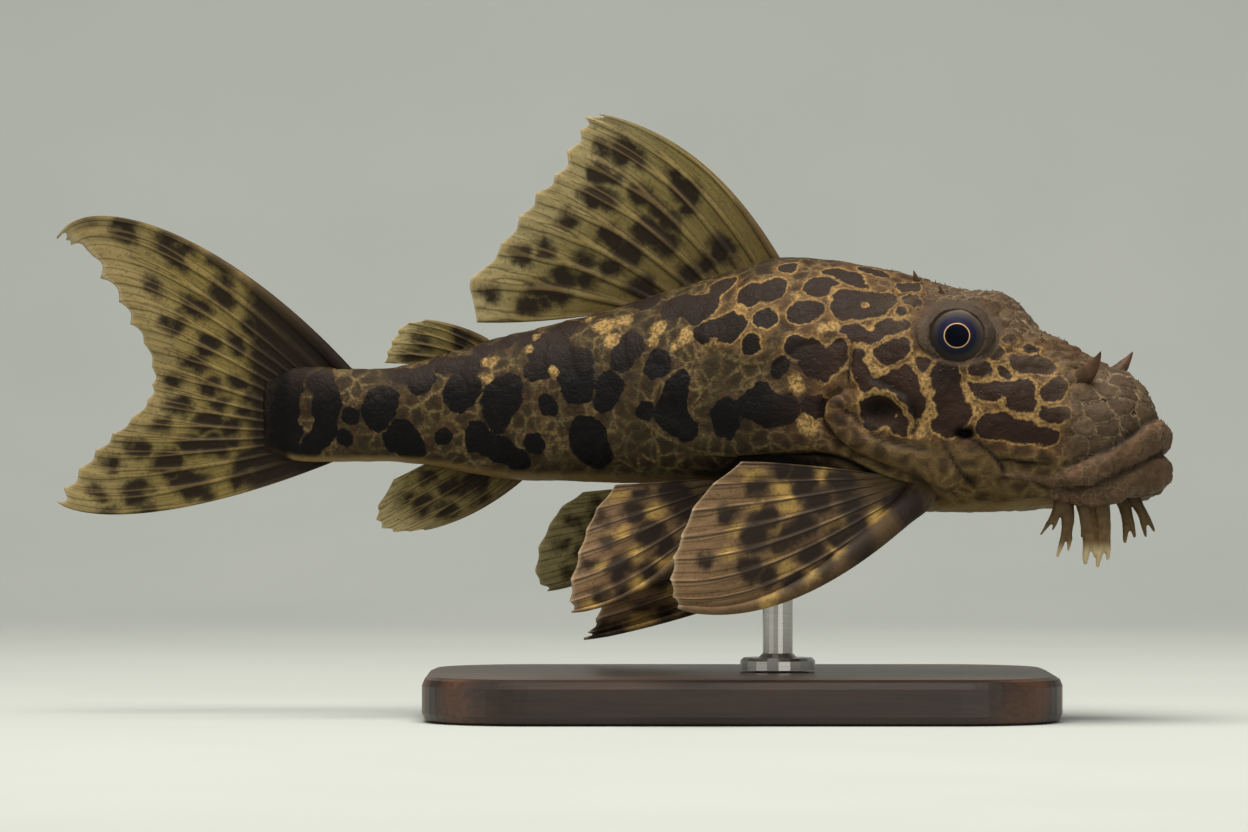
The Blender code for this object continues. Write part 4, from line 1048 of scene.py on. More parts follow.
def fin_sheet(name, fin):
    """A fin's closed sheet: rays stand out on both sides of a thin web, and their tips past its edge.
    Gives its shape, and values for each of its points."""
    rays = fin["rays"]
    banded = fin["pleat"] > 0.25  # broad flat bands, each with its edge over the next
    tips = fin_place(fin, np.linspace(0, 1, 60), np.ones(60))
    breadth = np.sum(np.linalg.norm(np.diff(tips, axis=0), axis=1))
    columns = int(np.clip(breadth / FIN_FACE, rays * 12, 230))
    v = np.linspace(0, 1, columns)[None, :]
    u = np.concatenate(([-0.1, -0.05], np.linspace(0, 1, FIN_ROWS)))[:, None]
    at = v * (rays - 1)
    valley = np.abs(np.sin(math.pi * at)) ** 0.75
    fork = np.abs(np.sin(math.pi * (at - 0.18))) * np.abs(np.sin(math.pi * (at + 0.18)))
    uneven = np.interp(at, np.arange(rays), np.random.default_rng(len(name)).uniform(-1, 1, rays))
    if fin.get("hooked"):
        valley = valley * smoothstep((at - 1.2) / 2.0)
        uneven = uneven * smoothstep((at - 0.5) / 2.0)
    reach = 1 - fin["notch"] * (0.8 * valley + 0.25 * fork) - 0.012 * uneven
    v, u, at = np.broadcast_arrays(v, u, at)
    places = fin_place(fin, v.ravel(), (u * np.where(u > 0, reach, 1.0)).ravel()).reshape(*v.shape, 3)
    out = np.cross(np.gradient(places, axis=0), np.gradient(places, axis=1))
    out /= np.linalg.norm(out, axis=2)[..., None] + 1e-12
    saw = (at + 0.12) % 1.0
    pleat = fin["pleat"] * (smoothstep(saw / 0.2) - saw) * smoothstep(u / 0.5) * (at < rays - 1.01)
    flutter = pleat + 0.35 * np.sin(at * 1.1 + 3 * u) * u**2
    # Painted shade: a dark line where each band's edge lies over the next
    groove = np.exp(-((np.minimum(saw, 1 - saw) / 0.07) ** 2)) * smoothstep(u / 0.15) * banded
    ridge = ray_ridges(rays, v, u)
    thick_ray = (RAY_THICK + (TIP_THICK - RAY_THICK) * smoothstep(u)) * (0.6 if banded else 1.0)
    web = WEB_THICK * (1 - 0.35 * smoothstep((u - 0.8) / 0.2))
    thick = web + (thick_ray - web) * ridge
    thick *= 1 - 0.6 * smoothstep((u - 0.97) / 0.03)
    middle = places + out * flutter[..., None]
    sides = [(middle + sign * out * thick[..., None] / 2).reshape(-1, 3) for sign in (1, -1)]
    index = np.arange(v.size).reshape(v.shape)
    a, b, c, d = (x.ravel() for x in (index[:-1, :-1], index[:-1, 1:], index[1:, 1:], index[1:, :-1]))
    rim = np.concatenate((index[0], index[1:, -1], index[-1, -2::-1], index[-2:0:-1, 0]))
    other_rim = rim + v.size
    faces = np.concatenate((
        np.stack((a, b, c, d), 1),
        np.stack((a, d, c, b), 1) + v.size,
        np.stack((np.roll(rim, -1), rim, other_rim, np.roll(other_rim, -1)), 1),
    ))
    values = {"ridge": ridge, "groove": groove, "along": u, "across": at, "spine": 0 * u}
    return (np.concatenate(sides), faces), {key: np.tile(value.ravel(), 2) for key, value in values.items()}


def fin_spine(fin):
    """The first ray of a fin, a rounded spine, and how far along it each of its points is."""
    rise = np.linspace(-0.1, 1.0, SPINE_ROWS)
    path = fin_place(fin, np.full(SPINE_ROWS, 0.004), rise)
    path[:, 2] -= fin.get("dip", 0.0) * np.clip(-rise / 0.05, 0, 1)
    radii = fin["spine"] * (1 - 0.72 * smoothstep(rise / 0.95)) * np.sqrt(np.clip((1.02 - rise) * 12, 0, 1))
    radii *= 1 + fin.get("knob", 0.0) * np.exp(-((rise / 0.05) ** 2))
    return tube(path, radii, SPINE_SIDES), np.repeat(rise, SPINE_SIDES)


def make_fin(name, fin, look):
    """One fin: its sheet of rays and web, its spine, and the values that its material reads."""
    sheet, values = fin_sheet(name, fin)
    spine, rise = fin_spine(fin)
    obj = mesh_object(name + "_rays", *joined([sheet, spine]))
    points = read(obj.data) / MM
    flat = np.zeros_like(rise)
    on_spine = {"ridge": flat + 0.9, "groove": flat, "along": rise, "across": flat, "spine": flat + 1}
    spot = inside_spots(points, fin, fin.get("dark") or scattered(name, fin["rays"]))
    if fin.get("hooked"):
        # Its rays are dark where they leave the stalk
        spot = np.maximum(spot, 1.9 + 0.55 * (points[:, 0] + 62))
    light = inside_spots(points, fin, fin.get("light", ()), 1.7)
    keep(
        obj.data, spot=spot, light=light,
        **{key: np.concatenate((values[key], on_spine[key])) for key in values},
    )
    finished(obj, points, look)
    bm = bmesh.new()
    bm.from_mesh(obj.data)
    bmesh.ops.recalc_face_normals(bm, faces=bm.faces)
    bm.to_mesh(obj.data)
    bm.free()
    return obj


def scattered(name, rays):
    """Spots along the rays of a fin that the view hardly shows."""
    draw = np.random.default_rng(len(name) + 3)
    return [
        (
            (ray + draw.uniform(-0.3, 0.3)) / (rays - 1),
            0.12 + k * 0.155 + draw.uniform(-0.03, 0.03) + 0.07 * (ray % 2),
            draw.uniform(0.9, 1.6),
        )
        for ray in range(rays) for k in range(6)
    ]


def inside_spots(points, fin, spots, long=1.25):
    """How deep each point of a fin is inside an uneven spot, which is longer along the rays."""
    depth = np.full(len(points), -9.0)
    points = points + 0.6 * drift(points, 1.8, 51)
    points += 0.2 * drift(points, 0.7, 54)
    for v, u, radius in spots:
        centre, ahead = fin_place(fin, np.array([v, v]), np.array([u, u + 0.02]))
        way = (ahead - centre) / np.linalg.norm(ahead - centre)
        off = points - centre
        along = off @ way
        across = np.linalg.norm(off - along[:, None] * way, axis=1)
        depth = np.maximum(depth, radius - np.hypot(along / long, across))
    return depth


def make_eye(name, side, look):
    """An eyeball whose pole is the middle of its pupil."""
    gaze = Vector(GAZE * (1, side, 1)).normalized()
    place = EYE_PLACE * (1, side, 1)
    turned = Vector((0, 0, 1)).rotation_difference(gaze).to_matrix().to_4x4()
    bm = bmesh.new()
    bmesh.ops.create_uvsphere(
        bm, u_segments=96, v_segments=128, radius=EYE_RADIUS, matrix=Matrix.Translation(place) @ turned
    )
    mesh = bpy.data.meshes.new(name)
    bm.to_mesh(mesh)
    bm.free()
    obj = bpy.data.objects.new(name + "ball", mesh)
    bpy.context.scene.collection.objects.link(obj)
    points = read(mesh)
    off = points - place
    front = off @ np.array(gaze)
    from_axis = np.sqrt(np.clip(np.sum(off**2, axis=1) - front**2, 0, None))
    keep(mesh, from_axis=np.where(front > 0, from_axis, 9.0), height=off[:, 2])
    return finished(obj, points, look)


HORNS = {
    "snout_horn_right": ((45.6, -5.9, 44.6), (49.0, -7.9, 48.5)),
    "snout_horn_left": ((45.9, 5.9, 44.6), (49.4, 7.9, 48.6)),
}
HORN_STOUT = 1.2
THORNS = {
    "roof_thorn_rear": ((23.9, -2.4, 57.7), (23.6, -2.9, 59.3)),
    "roof_thorn_front": ((27.9, -4.6, 55.6), (27.6, -5.3, 57.2)),
}
THORN_STOUT = 0.42

FEELER_ROOT = 31.5  # height at which the feelers leave the chin
FEELER_LONG = 9.0
FEELER_GRID = 0.13
# Chin feelers: root and tip of each branch, its thickness and the number of its fingers
FEELERS = {
    "chin_feelers_right": (
        ((45.7, -6.0, 31.6), (47.3, -6.3, 20.8), 2.0, 2),
        ((48.0, -6.0, 31.6), (48.8, -6.0, 20.4), 1.85, 2),
    ),
    "chin_feelers_right_rear": (
        ((43.6, -6.4, 31.4), (41.9, -7.6, 24.6), 1.2, 2),
        ((44.0, -6.4, 31.4), (43.9, -6.9, 21.7), 1.4, 2),
    ),
    "chin_feelers_left": (
        ((47.9, 4.0, 31.4), (49.9, 4.4, 23.4), 1.6, 2),
        ((48.8, 4.0, 31.4), (52.7, 4.0, 24.2), 1.35, 2),
    ),
    "chin_feelers_left_rear": (
        ((45.0, 6.0, 31.4), (43.4, 7.4, 23.6), 1.3, 2),
        ((45.0, 6.0, 31.4), (46.2, 7.0, 22.8), 1.2, 1),
    ),
}


def branch(root, tip, thick, fingers):
    """One fleshy strap that parts into short pointed fingers near its tip."""
    root, tip = np.array(root), np.array(tip)
    f = np.linspace(0, 1, 24)[:, None]
    bow = np.array((0.5, 0.0, 0.0))
    across = np.array((1.0, 0.25, 0.15))
    radii = thick * (1 - 0.45 * smoothstep(f[:, 0] / 0.8)) * np.sqrt(np.clip((1.03 - f[:, 0]) * 2.6, 0, 1))
    parts = []
    for k in range(fingers):
        off = (k - (fingers - 1) / 2) * (0.55 * f + 0.75 * smoothstep((f - 0.55) / 0.45))
        uneven = 0.07 * ((k + round(10 * thick)) % 2)
        path = root + (tip - root) * f * (1 - uneven) + bow * np.sin(math.pi * f) + across * off
        parts.append(tube(path, radii / (1 + 0.28 * (fingers - 1)), 14, 0.75))
    return parts


def make_feeler(name, branches, look):
    """A group of feelers under the chin, melted into one skin."""
    parts = [shape for one in branches for shape in branch(*one)]
    obj = melted(name + "_flesh", parts, FEELER_GRID)
    points = relax(obj.data, 4)
    points += read(obj.data, "normal") * (0.05 * grain(points * (1, 1, 0.5), 0.5, 41))[:, None]
    keep(obj.data, reach=(FEELER_ROOT - points[:, 2]) / FEELER_LONG)
    return finished(obj, points, look)


def make_horn(name, root, tip, stout, look):
    """A pointed horn that curves forwards, stout up to its middle."""
    root, tip = np.array(root), np.array(tip)
    rows, sides = 40, 28
    f = np.linspace(0, 1, rows)[:, None]
    path = root + (tip - root) * f + stout * np.array((0.2, 0, -0.3)) * np.sin(math.pi * f)
    points, faces = tube(path, stout * (1 - f[:, 0] ** 1.7) ** 0.95 + 0.04, sides)
    middle = np.repeat(path, sides, axis=0)
    points = middle + (points - middle) * (1 + 0.12 * grain(points * (1, 1, 0.4), 0.6, 43))[:, None]
    obj = mesh_object(name + "_flesh", points, faces)
    keep(obj.data, reach=np.repeat(f[:, 0], sides))
    return finished(obj, points, look)


def linear(code):
    """The linear colour of an sRGB hex value."""
    parts = [int(code[i:i + 2], 16) / 255 for i in (1, 3, 5)]
    return (*(p / 12.92 if p <= 0.04045 else ((p + 0.055) / 1.055) ** 2.4 for p in parts), 1.0)


def add(tree, kind, inputs=(), **settings):
    """Adds a node. An input is named or numbered. It is a value, an sRGB hex colour, an output, or a node
    for its first output."""
    made = tree.nodes.new(kind)
    for key, value in settings.items():
        setattr(made, key, value)
    for key, value in dict(inputs).items():
        if isinstance(value, bpy.types.Node):
            value = next(output for output in value.outputs if output.enabled)
        if isinstance(value, bpy.types.NodeSocket):
            tree.links.new(value, made.inputs[key])
        else:
            is_colour = isinstance(value, str) and value.startswith("#")
            made.inputs[key].default_value = linear(value) if is_colour else value
    return made


def new_material(name):
    """A material, its empty node tree, and the place on the object in metres."""
    look = bpy.data.materials.new(name)
    look.use_nodes = True
    tree = look.node_tree
    tree.nodes.clear()
    return look, tree, add(tree, "ShaderNodeTexCoord").outputs["Object"]


def per_mm(size):
    """Scale of a texture on object coordinates whose pattern repeats over a size in millimetres."""
    return 1 / (size * MM)


def armoured_skin():
    """Catfish hide over bony plates: velvet blotches, and ground with only a faint sheen over fine grit."""
    look, tree, place = new_material("armoured_catfish_hide")
    value = {}
    names = "mark gold netted shade border tone rough snout lip front under low high scute_edge from_eye"
    for name in names.split():
        value[name] = add(tree, "ShaderNodeAttribute", attribute_name=name).outputs["Fac"]
    noise = {}
    for name, size, detail, roughness in (
        ("speckle", 0.45, 3.0, 0.6),
        ("mottle", 0.8, 4.0, 0.7),
        ("ragged", 1.0, 4.0, 0.65),  # waves on the borders of the blotches
        ("wobble", 2.0, 3.0, 0.5),
        ("patchy", 6.0, 3.0, 0.5),
        ("grit", 0.22, 3.0, 0.5),
    ):
        noise[name] = add(
            tree, "ShaderNodeTexNoise",
            {"Vector": place, "Scale": per_mm(size), "Detail": detail, "Roughness": roughness},
        )
    ragged = {}
    for name, source, amount in (("mark", noise["ragged"], 0.9), ("gold", noise["mottle"], 1.8)):
        ragged[name] = add(
            tree, "ShaderNodeMath", {0: source, 1: amount, 2: value[name]}, operation="MULTIPLY_ADD"
        )
    moved = add(
        tree, "ShaderNodeVectorMath",
        {0: noise["wobble"].outputs["Color"], 1: (1.8 * MM,) * 3, 2: place}, operation="MULTIPLY_ADD",
    )
    cells = {}
    for name, where, size, kind in (
        ("round", moved, 2.6, "DISTANCE_TO_EDGE"),  # olive cells, dark in the middle
        ("small", moved, 1.15, "DISTANCE_TO_EDGE"),  # brown cells in the gold bands, and fine wrinkles
        ("teeth", place, 0.34, "F1"),  # drawn 0.3 mm apart where the real ones stand closer
    ):
        cells[name] = add(
            tree, "ShaderNodeTexVoronoi", {"Vector": where, "Scale": per_mm(size)}, feature=kind
        )

    share = {}
    for name, source, low, high, first, last in (
        ("blotch", ragged["mark"], 0.36, 0.6, 0.0, 0.98),
        ("near_mark", ragged["mark"], 0.08, 0.32, 0.0, 0.9),
        ("band", ragged["mark"], -0.9, 0.1, 0.0, 0.9),
        ("cell", cells["round"], 0.12, 0.34, 0.0, 0.7),
        ("small_cell", cells["small"], 0.14, 0.3, 0.0, 0.8),
        ("net", cells["round"], 0.0, 0.15, 0.8, 0.0),
        ("net_here", noise["patchy"], 0.35, 0.65, 0.1, 0.85),
        ("gold", ragged["gold"], 0.5, 1.3, 0.0, 0.95),
        ("broken", noise["patchy"], 0.3, 0.62, 0.5, 1.0),
        ("grainy", noise["speckle"], 0.38, 0.62, 0.3, 1.0),
        ("fleck", noise["mottle"], 0.55, 0.8, 0.0, 0.3),
        ("pale_plate", value["tone"], -1.0, 1.0, 0.0, 0.4),
        ("rim_inner", value["border"], 0.02, 0.1, 0.0, 1.0),
        ("rim_outer", value["border"], 0.12, 0.28, 1.0, 0.0),
        ("joint_and_crease_shade", value["border"], 0.0, 0.1, 0.8, 0.0),
        ("lid", value["from_eye"], 5.0, 5.9, 0.92, 0.0),
        ("lid_edge", value["from_eye"], 4.2, 4.8, 0.4, 0.0),
        ("lip_blot", noise["wobble"], 0.5, 0.68, 0.0, 0.7),
        ("lip_pale", cells["small"], 0.0, 0.12, 0.6, 0.0),
        ("shine", noise["mottle"], 0.3, 0.7, 0.5, 0.72),
    ):
        share[name] = add(
            tree, "ShaderNodeMapRange",
            {"Value": source, "From Min": low, "From Max": high, "To Min": first, "To Max": last},
            interpolation_type="SMOOTHSTEP",
        )
    for name, *factors in (
        ("line", share["near_mark"], value["netted"], share["broken"], share["grainy"]),
        ("band", share["band"], value["netted"]),
        ("net", share["net"], share["net_here"], share["grainy"]),
        ("gold", share["gold"], share["grainy"]),
        ("rim", share["rim_inner"], share["rim_outer"], value["rough"], value["snout"], share["grainy"]),
        ("joint_and_crease_shade", share["joint_and_crease_shade"], value["rough"]),
        ("scute_edge", value["scute_edge"], share["grainy"], share["broken"]),
        ("pale_plate", share["pale_plate"], value["rough"]),
        ("band_cell", share["small_cell"], share["band"]),
        ("lip_blot", share["lip_blot"], value["lip"]),
        ("lip_pale", share["lip_pale"], value["lip"], share["net_here"], share["grainy"]),
    ):
        share[name] = factors[0]
        for factor in factors[1:]:
            share[name] = add(tree, "ShaderNodeMath", {0: share[name], 1: factor}, operation="MULTIPLY")

    tone = {}
    for name, dark, light in (
        ("olive", "#1b160c", "#3b301d"),
        ("red_brown", "#2c1e16", "#4f3824"),
        ("band", "#3d2a17", "#6b502c"),
        ("plate", "#20180f", "#524333"),
        ("lip", "#2a1e13", "#5d4a36"),
        ("lid", "#30271f", "#554739"),
        ("under", "#33260f", "#5f4c30"),
        ("belly", "#5a472a", "#877045"),
        # Painted light: the lighter brown of the blotches near the back, where the top light falls
        ("back", "#1a1310", "#2a201a"),
    ):
        tone[name] = add(tree, "ShaderNodeMix", {0: noise["mottle"], 6: dark, 7: light}, data_type="RGBA")
    painted = {}
    for name, base, layers in (
        ("blotch", "#040405", (
            # Blotches are chocolate on the head; near the back they are painted lighter, where the top light
            # falls
            (value["front"], "#21140f"), (value["high"], tone["back"]), (share["fleck"], "#3a2a1e"),
        )),
        ("all", tone["olive"], (
            (value["front"], tone["red_brown"]),
            (share["band"], tone["band"]),
            (value["under"], tone["under"]),
            (share["cell"], "#241b11"),
            (share["net"], "#776440"),
            (share["gold"], "#987b4a"),
            (share["band_cell"], "#402a1c"),
            (share["line"], "#8f7447"),
            (share["scute_edge"], "#7d6c48"),
            (share["blotch"], "blotch"),
            # Snout and lips: brown-grey plates, dark cracks and thin pale rims
            (value["snout"], tone["plate"]),
            (share["pale_plate"], "#5e4f3b"),
            (value["lip"], tone["lip"]),
            (share["lip_blot"], "#5c4331"),
            (share["lip_pale"], "#7f6d55"),
            (share["rim"], "#7c6b54"),
            (share["joint_and_crease_shade"], "#17100b"),
            (share["lid"], tone["lid"]),
            (share["lid_edge"], "#322c28"),
            (value["low"], tone["belly"]),
            (value["shade"], "#030202"),
        )),
    ):
        for layer_share, colour in layers:
            colour = painted.get(colour, colour)
            base = add(tree, "ShaderNodeMix", {0: layer_share, 6: base, 7: colour}, data_type="RGBA")
        painted[name] = base

    height = noise["grit"]
    folds = add(tree, "ShaderNodeMath", {0: cells["small"], 1: 0.22}, operation="MINIMUM")
    for source, amount in ((cells["teeth"], -0.6), (folds, 3.0)):
        height = add(tree, "ShaderNodeMath", {0: source, 1: amount, 2: height}, operation="MULTIPLY_ADD")
    bumps = add(tree, "ShaderNodeBump", {"Strength": 0.4, "Distance": 0.16 * MM, "Height": height})
    surface = add(
        tree, "ShaderNodeBsdfPrincipled",
        {"Base Color": painted["all"], "Roughness": share["shine"], "IOR": 1.4, "Specular IOR Level": 0.14,
         "Normal": bumps},
    )
    add(tree, "ShaderNodeOutputMaterial", {"Surface": surface})
    return look


def fin_web(name, inner, middle, outer, spot, light, crest):
    """Thin fin skin over bony rays, nearly matt: lighter where it is only web, with soft dark spots."""
    look, tree, place = new_material(name)
    value = {}
    for key in ("ridge", "groove", "along", "across", "spine", "spot", "light"):
        value[key] = add(tree, "ShaderNodeAttribute", attribute_name=key).outputs["Fac"]
    mottle = add(
        tree, "ShaderNodeTexNoise", {"Vector": place, "Scale": per_mm(1.2), "Detail": 5.0, "Roughness": 0.7}
    )
    speckle = add(tree, "ShaderNodeTexNoise", {"Vector": place, "Scale": per_mm(0.4), "Detail": 2.0})
    # Streaks along the rays, 7 to a ray space
    fan = add(tree, "ShaderNodeCombineXYZ", {"X": value["across"], "Y": value["along"]})
    fine = add(tree, "ShaderNodeVectorMath", {0: fan, 1: (7.0, 6.0, 1.0)}, operation="MULTIPLY")
    streak = add(tree, "ShaderNodeTexNoise", {"Vector": fine, "Scale": 1.0, "Detail": 3.0})
    blur = add(tree, "ShaderNodeMath", {0: mottle, 1: 1.8, 2: value["spot"]}, operation="MULTIPLY_ADD")
    lit = add(tree, "ShaderNodeMath", {0: mottle, 1: 1.6, 2: value["light"]}, operation="MULTIPLY_ADD")
    share = {}
    for key, source, low, high, first, last in (
        ("middle", value["along"], 0.05, 0.5, 0.0, 1.0),
        ("outer", value["along"], 0.55, 1.0, 0.0, 1.0),
        ("spine", value["spine"], 0.0, 1.0, 0.0, 0.7),
        ("streak", streak, 0.35, 0.7, 0.0, 0.4),
        ("speckle", speckle, 0.52, 0.72, 0.0, 0.4),
        ("light", lit, 0.3, 1.7, 0.0, 0.9),
        ("spot", blur, 0.0, 1.5, 0.0, 0.95),
        ("flank", value["ridge"], 0.0, 0.45, 0.0, 0.6),
        ("not_crest", value["ridge"], 0.5, 0.85, 1.0, 0.0),
        ("groove", value["groove"], 0.15, 0.9, 0.0, 0.85),
        ("crest", value["ridge"], 0.75, 1.0, 0.0, crest),
        ("tip", value["along"], 0.975, 1.0, 0.0, 0.6),
    ):
        share[key] = add(
            tree, "ShaderNodeMapRange",
            {"Value": source, "From Min": low, "From Max": high, "To Min": first, "To Max": last},
            interpolation_type="SMOOTHSTEP",
        )
    for key, first, second in (
        ("line", share["flank"], share["not_crest"]),
        ("crest", share["crest"], share["middle"]),
        ("tip", share["tip"], speckle),
    ):
        share[key] = add(tree, "ShaderNodeMath", {0: first, 1: second}, operation="MULTIPLY")
    coloured = inner
    for key, colour in (
        ("middle", middle),
        ("outer", outer),
        ("spine", "#4c3b29"),
        ("streak", "#3a3018"),
        ("light", light),
        ("spot", spot),
        # Each ray has a dark line down each flank and a paler crest
        ("line", "#2a2013"),
        ("crest", "#8a744a"),
        # Painted shade under the edge of each overlapping band
        ("groove", "#17110d"),
        ("speckle", "#2c2415"),
        ("tip", "#b5a78a"),
    ):
        coloured = add(tree, "ShaderNodeMix", {0: share[key], 6: coloured, 7: colour}, data_type="RGBA")
    bumps = add(tree, "ShaderNodeBump", {"Strength": 0.3, "Distance": 0.1 * MM, "Height": streak})
    surface = add(
        tree, "ShaderNodeBsdfPrincipled",
        {"Base Color": coloured, "Roughness": 0.6, "IOR": 1.4, "Specular IOR Level": 0.15, "Normal": bumps},
    )
    add(tree, "ShaderNodeOutputMaterial", {"Surface": surface})
    return look


def wet_eye():
    """An eyeball under water: navy pupil, thin gold ring and navy iris, with hardly a highlight."""
    look, tree, place = new_material("wet_eyeball")
    far = add(tree, "ShaderNodeAttribute", attribute_name="from_axis").outputs["Fac"]
    height = add(tree, "ShaderNodeAttribute", attribute_name="height").outputs["Fac"]
    cloud = add(tree, "ShaderNodeTexNoise", {"Vector": place, "Scale": per_mm(1.4), "Detail": 3.0})
    lit = add(tree, "ShaderNodeMapRange", {"Value": height, "From Min": -2.6, "From Max": 1.4})
    turns = add(tree, "ShaderNodeMath", {0: far, 1: 21.0}, operation="MULTIPLY")
    wave = add(tree, "ShaderNodeMath", {0: turns}, operation="SINE")
    rings = add(tree, "ShaderNodeMapRange", {"Value": wave, "From Min": 0.2, "From Max": 1.0, "To Max": 0.12})
    iris = "#0c1417"
    for share, colour in ((lit, "#141433"), (cloud, "#1b1c2c"), (rings, "#3d3d4c")):
        iris = add(tree, "ShaderNodeMix", {0: share, 6: iris, 7: colour}, data_type="RGBA")
    coloured = "#01030e"
    for radius, blur, colour in (
        (PUPIL, 0.07, "#c39c74"),
        (PUPIL + PUPIL_RING, 0.08, iris),
        (IRIS - 0.55, 0.9, "#3a3532"),
        (IRIS, 0.5, "#5a5046"),
    ):
        share = add(
            tree, "ShaderNodeMapRange",
            {"Value": far, "From Min": radius - blur / 2, "From Max": radius + blur / 2},
            interpolation_type="SMOOTHSTEP",
        )
        coloured = add(tree, "ShaderNodeMix", {0: share, 6: coloured, 7: colour}, data_type="RGBA")
    surface = add(
        tree, "ShaderNodeBsdfPrincipled",
        {"Base Color": coloured, "Roughness": 0.5, "IOR": 1.38, "Specular IOR Level": 0.07,
         "Coat Weight": 0.03, "Coat Roughness": 0.2, "Coat IOR": 1.34},
    )
    add(tree, "ShaderNodeOutputMaterial", {"Surface": surface})
    return look


def soft_flesh(name, root, tip, end, end_from):
    """Soft damp skin of a feeler or horn: a soft sheen, mottled, with a differently coloured tip."""
    look, tree, place = new_material(name)
    reach = add(tree, "ShaderNodeAttribute", attribute_name="reach").outputs["Fac"]
    mottle = add(
        tree, "ShaderNodeTexNoise", {"Vector": place, "Scale": per_mm(0.9), "Detail": 4.0, "Roughness": 0.65}
    )
    at_end = add(
        tree, "ShaderNodeMapRange", {"Value": reach, "From Min": end_from, "From Max": 1.04, "To Max": 0.8},
        interpolation_type="SMOOTHSTEP",
    )
    coloured = root
    layers = (reach, tip, "MIX"), (mottle, "#2d2013", "SOFT_LIGHT"), (at_end, end, "MIX")
    for share, colour, blend in layers:
        coloured = add(
            tree, "ShaderNodeMix", {0: share, 6: coloured, 7: colour}, data_type="RGBA", blend_type=blend
        )
    bumps = add(tree, "ShaderNodeBump", {"Strength": 0.3, "Distance": 0.1 * MM, "Height": mottle})
    surface = add(
        tree, "ShaderNodeBsdfPrincipled",
        {"Base Color": coloured, "Roughness": 0.5, "IOR": 1.4, "Specular IOR Level": 0.22, "Normal": bumps},
    )
    add(tree, "ShaderNodeOutputMaterial", {"Surface": surface})
    return look


def stained_wood():
    """Walnut, planed, stained and oiled: brown figure along the length, fine pores and a satin sheen."""
    look, tree, place = new_material("oiled_walnut")
    long_way = add(tree, "ShaderNodeMapping", {"Vector": place, "Scale": (0.12, 1.0, 1.0)})
    bent = add(tree, "ShaderNodeTexNoise", {"Vector": long_way, "Scale": per_mm(14.0), "Detail": 3.0})
    moved = add(
        tree, "ShaderNodeVectorMath",
        {0: bent.outputs["Color"], 1: (0.0, 9 * MM, 9 * MM), 2: long_way}, operation="MULTIPLY_ADD",
    )
    rings = add(
        tree, "ShaderNodeTexWave",
        {"Vector": moved, "Scale": per_mm(26.0), "Distortion": 1.5, "Detail": 2.0},
        wave_type="BANDS", bands_direction="Y",
    )
    pores = add(tree, "ShaderNodeMapping", {"Vector": place, "Scale": (0.05, 1.0, 1.0)})
    pore = add(tree, "ShaderNodeTexNoise", {"Vector": pores, "Scale": per_mm(0.5), "Detail": 3.0})
    coloured = "#2e1c10"
    layers = (rings.outputs["Fac"], "#5a3a22", "MIX"), (pore, "#24160d", "SOFT_LIGHT")
    for share, colour, blend in layers:
        coloured = add(
            tree, "ShaderNodeMix", {0: share, 6: coloured, 7: colour}, data_type="RGBA", blend_type=blend
        )
    bumps = add(tree, "ShaderNodeBump", {"Strength": 0.25, "Distance": 0.08 * MM, "Height": pore})
    surface = add(
        tree, "ShaderNodeBsdfPrincipled",
        {"Base Color": coloured, "Roughness": 0.38, "IOR": 1.5, "Normal": bumps},
    )
    add(tree, "ShaderNodeOutputMaterial", {"Surface": surface})
    return look


def satin_steel():
    """Stainless steel rod, turned and brushed round: fine rings that draw the highlight out sideways."""
    look, tree, place = new_material("brushed_stainless_steel")
    turned = add(tree, "ShaderNodeMapping", {"Vector": place, "Scale": (0.05, 0.05, 1.0)})
    brush = add(tree, "ShaderNodeTexNoise", {"Vector": turned, "Scale": per_mm(0.25), "Detail": 2.0})
    shine = add(tree, "ShaderNodeMapRange", {"Value": brush, "To Min": 0.22, "To Max": 0.38})
    tone = add(tree, "ShaderNodeMix", {0: brush, 6: "#a9a7a2", 7: "#c9c7c2"}, data_type="RGBA")
    surface = add(tree, "ShaderNodeBsdfPrincipled", {"Base Color": tone, "Roughness": shine, "Metallic": 1.0})
    add(tree, "ShaderNodeOutputMaterial", {"Surface": surface})
    return look


def tooth_bone():
    """Bony skin teeth, mottled brown."""
    look, tree, place = new_material("skin_tooth_bone")
    mottle = add(tree, "ShaderNodeTexNoise", {"Vector": place, "Scale": per_mm(2.0), "Detail": 2.0})
    tone = add(tree, "ShaderNodeMix", {0: mottle, 6: "#382b1e", 7: "#6e5d44"}, data_type="RGBA")
    surface = add(tree, "ShaderNodeBsdfPrincipled", {"Base Color": tone, "Roughness": 0.5, "IOR": 1.5})
    add(tree, "ShaderNodeOutputMaterial", {"Surface": surface})
    return look


def backdrop_paper():
    """Matt studio paper, pale grey-green, with a faint tooth. Its back is clear."""
    look, tree, place = new_material("studio_paper")
    tooth = add(tree, "ShaderNodeTexNoise", {"Vector": place, "Scale": per_mm(60.0), "Detail": 3.0})
    tone = add(tree, "ShaderNodeMix", {0: tooth, 6: "#a6aca9", 7: "#afb4b1"}, data_type="RGBA")
    paper = add(
        tree, "ShaderNodeBsdfPrincipled", {"Base Color": tone, "Roughness": 0.9, "Specular IOR Level": 0.2}
    )
    behind = add(tree, "ShaderNodeNewGeometry").outputs["Backfacing"]
    clear = add(tree, "ShaderNodeBsdfTransparent")
    surface = add(tree, "ShaderNodeMixShader", {0: behind, 1: paper, 2: clear})
    add(tree, "ShaderNodeOutputMaterial", {"Surface": surface})
    return look


TOOTH_LEAN = (-0.7, 0.2, 0.1)  # back, away from the snout
TOOTH_PATCH = 0.003  # share of the unwrap that one tooth covers


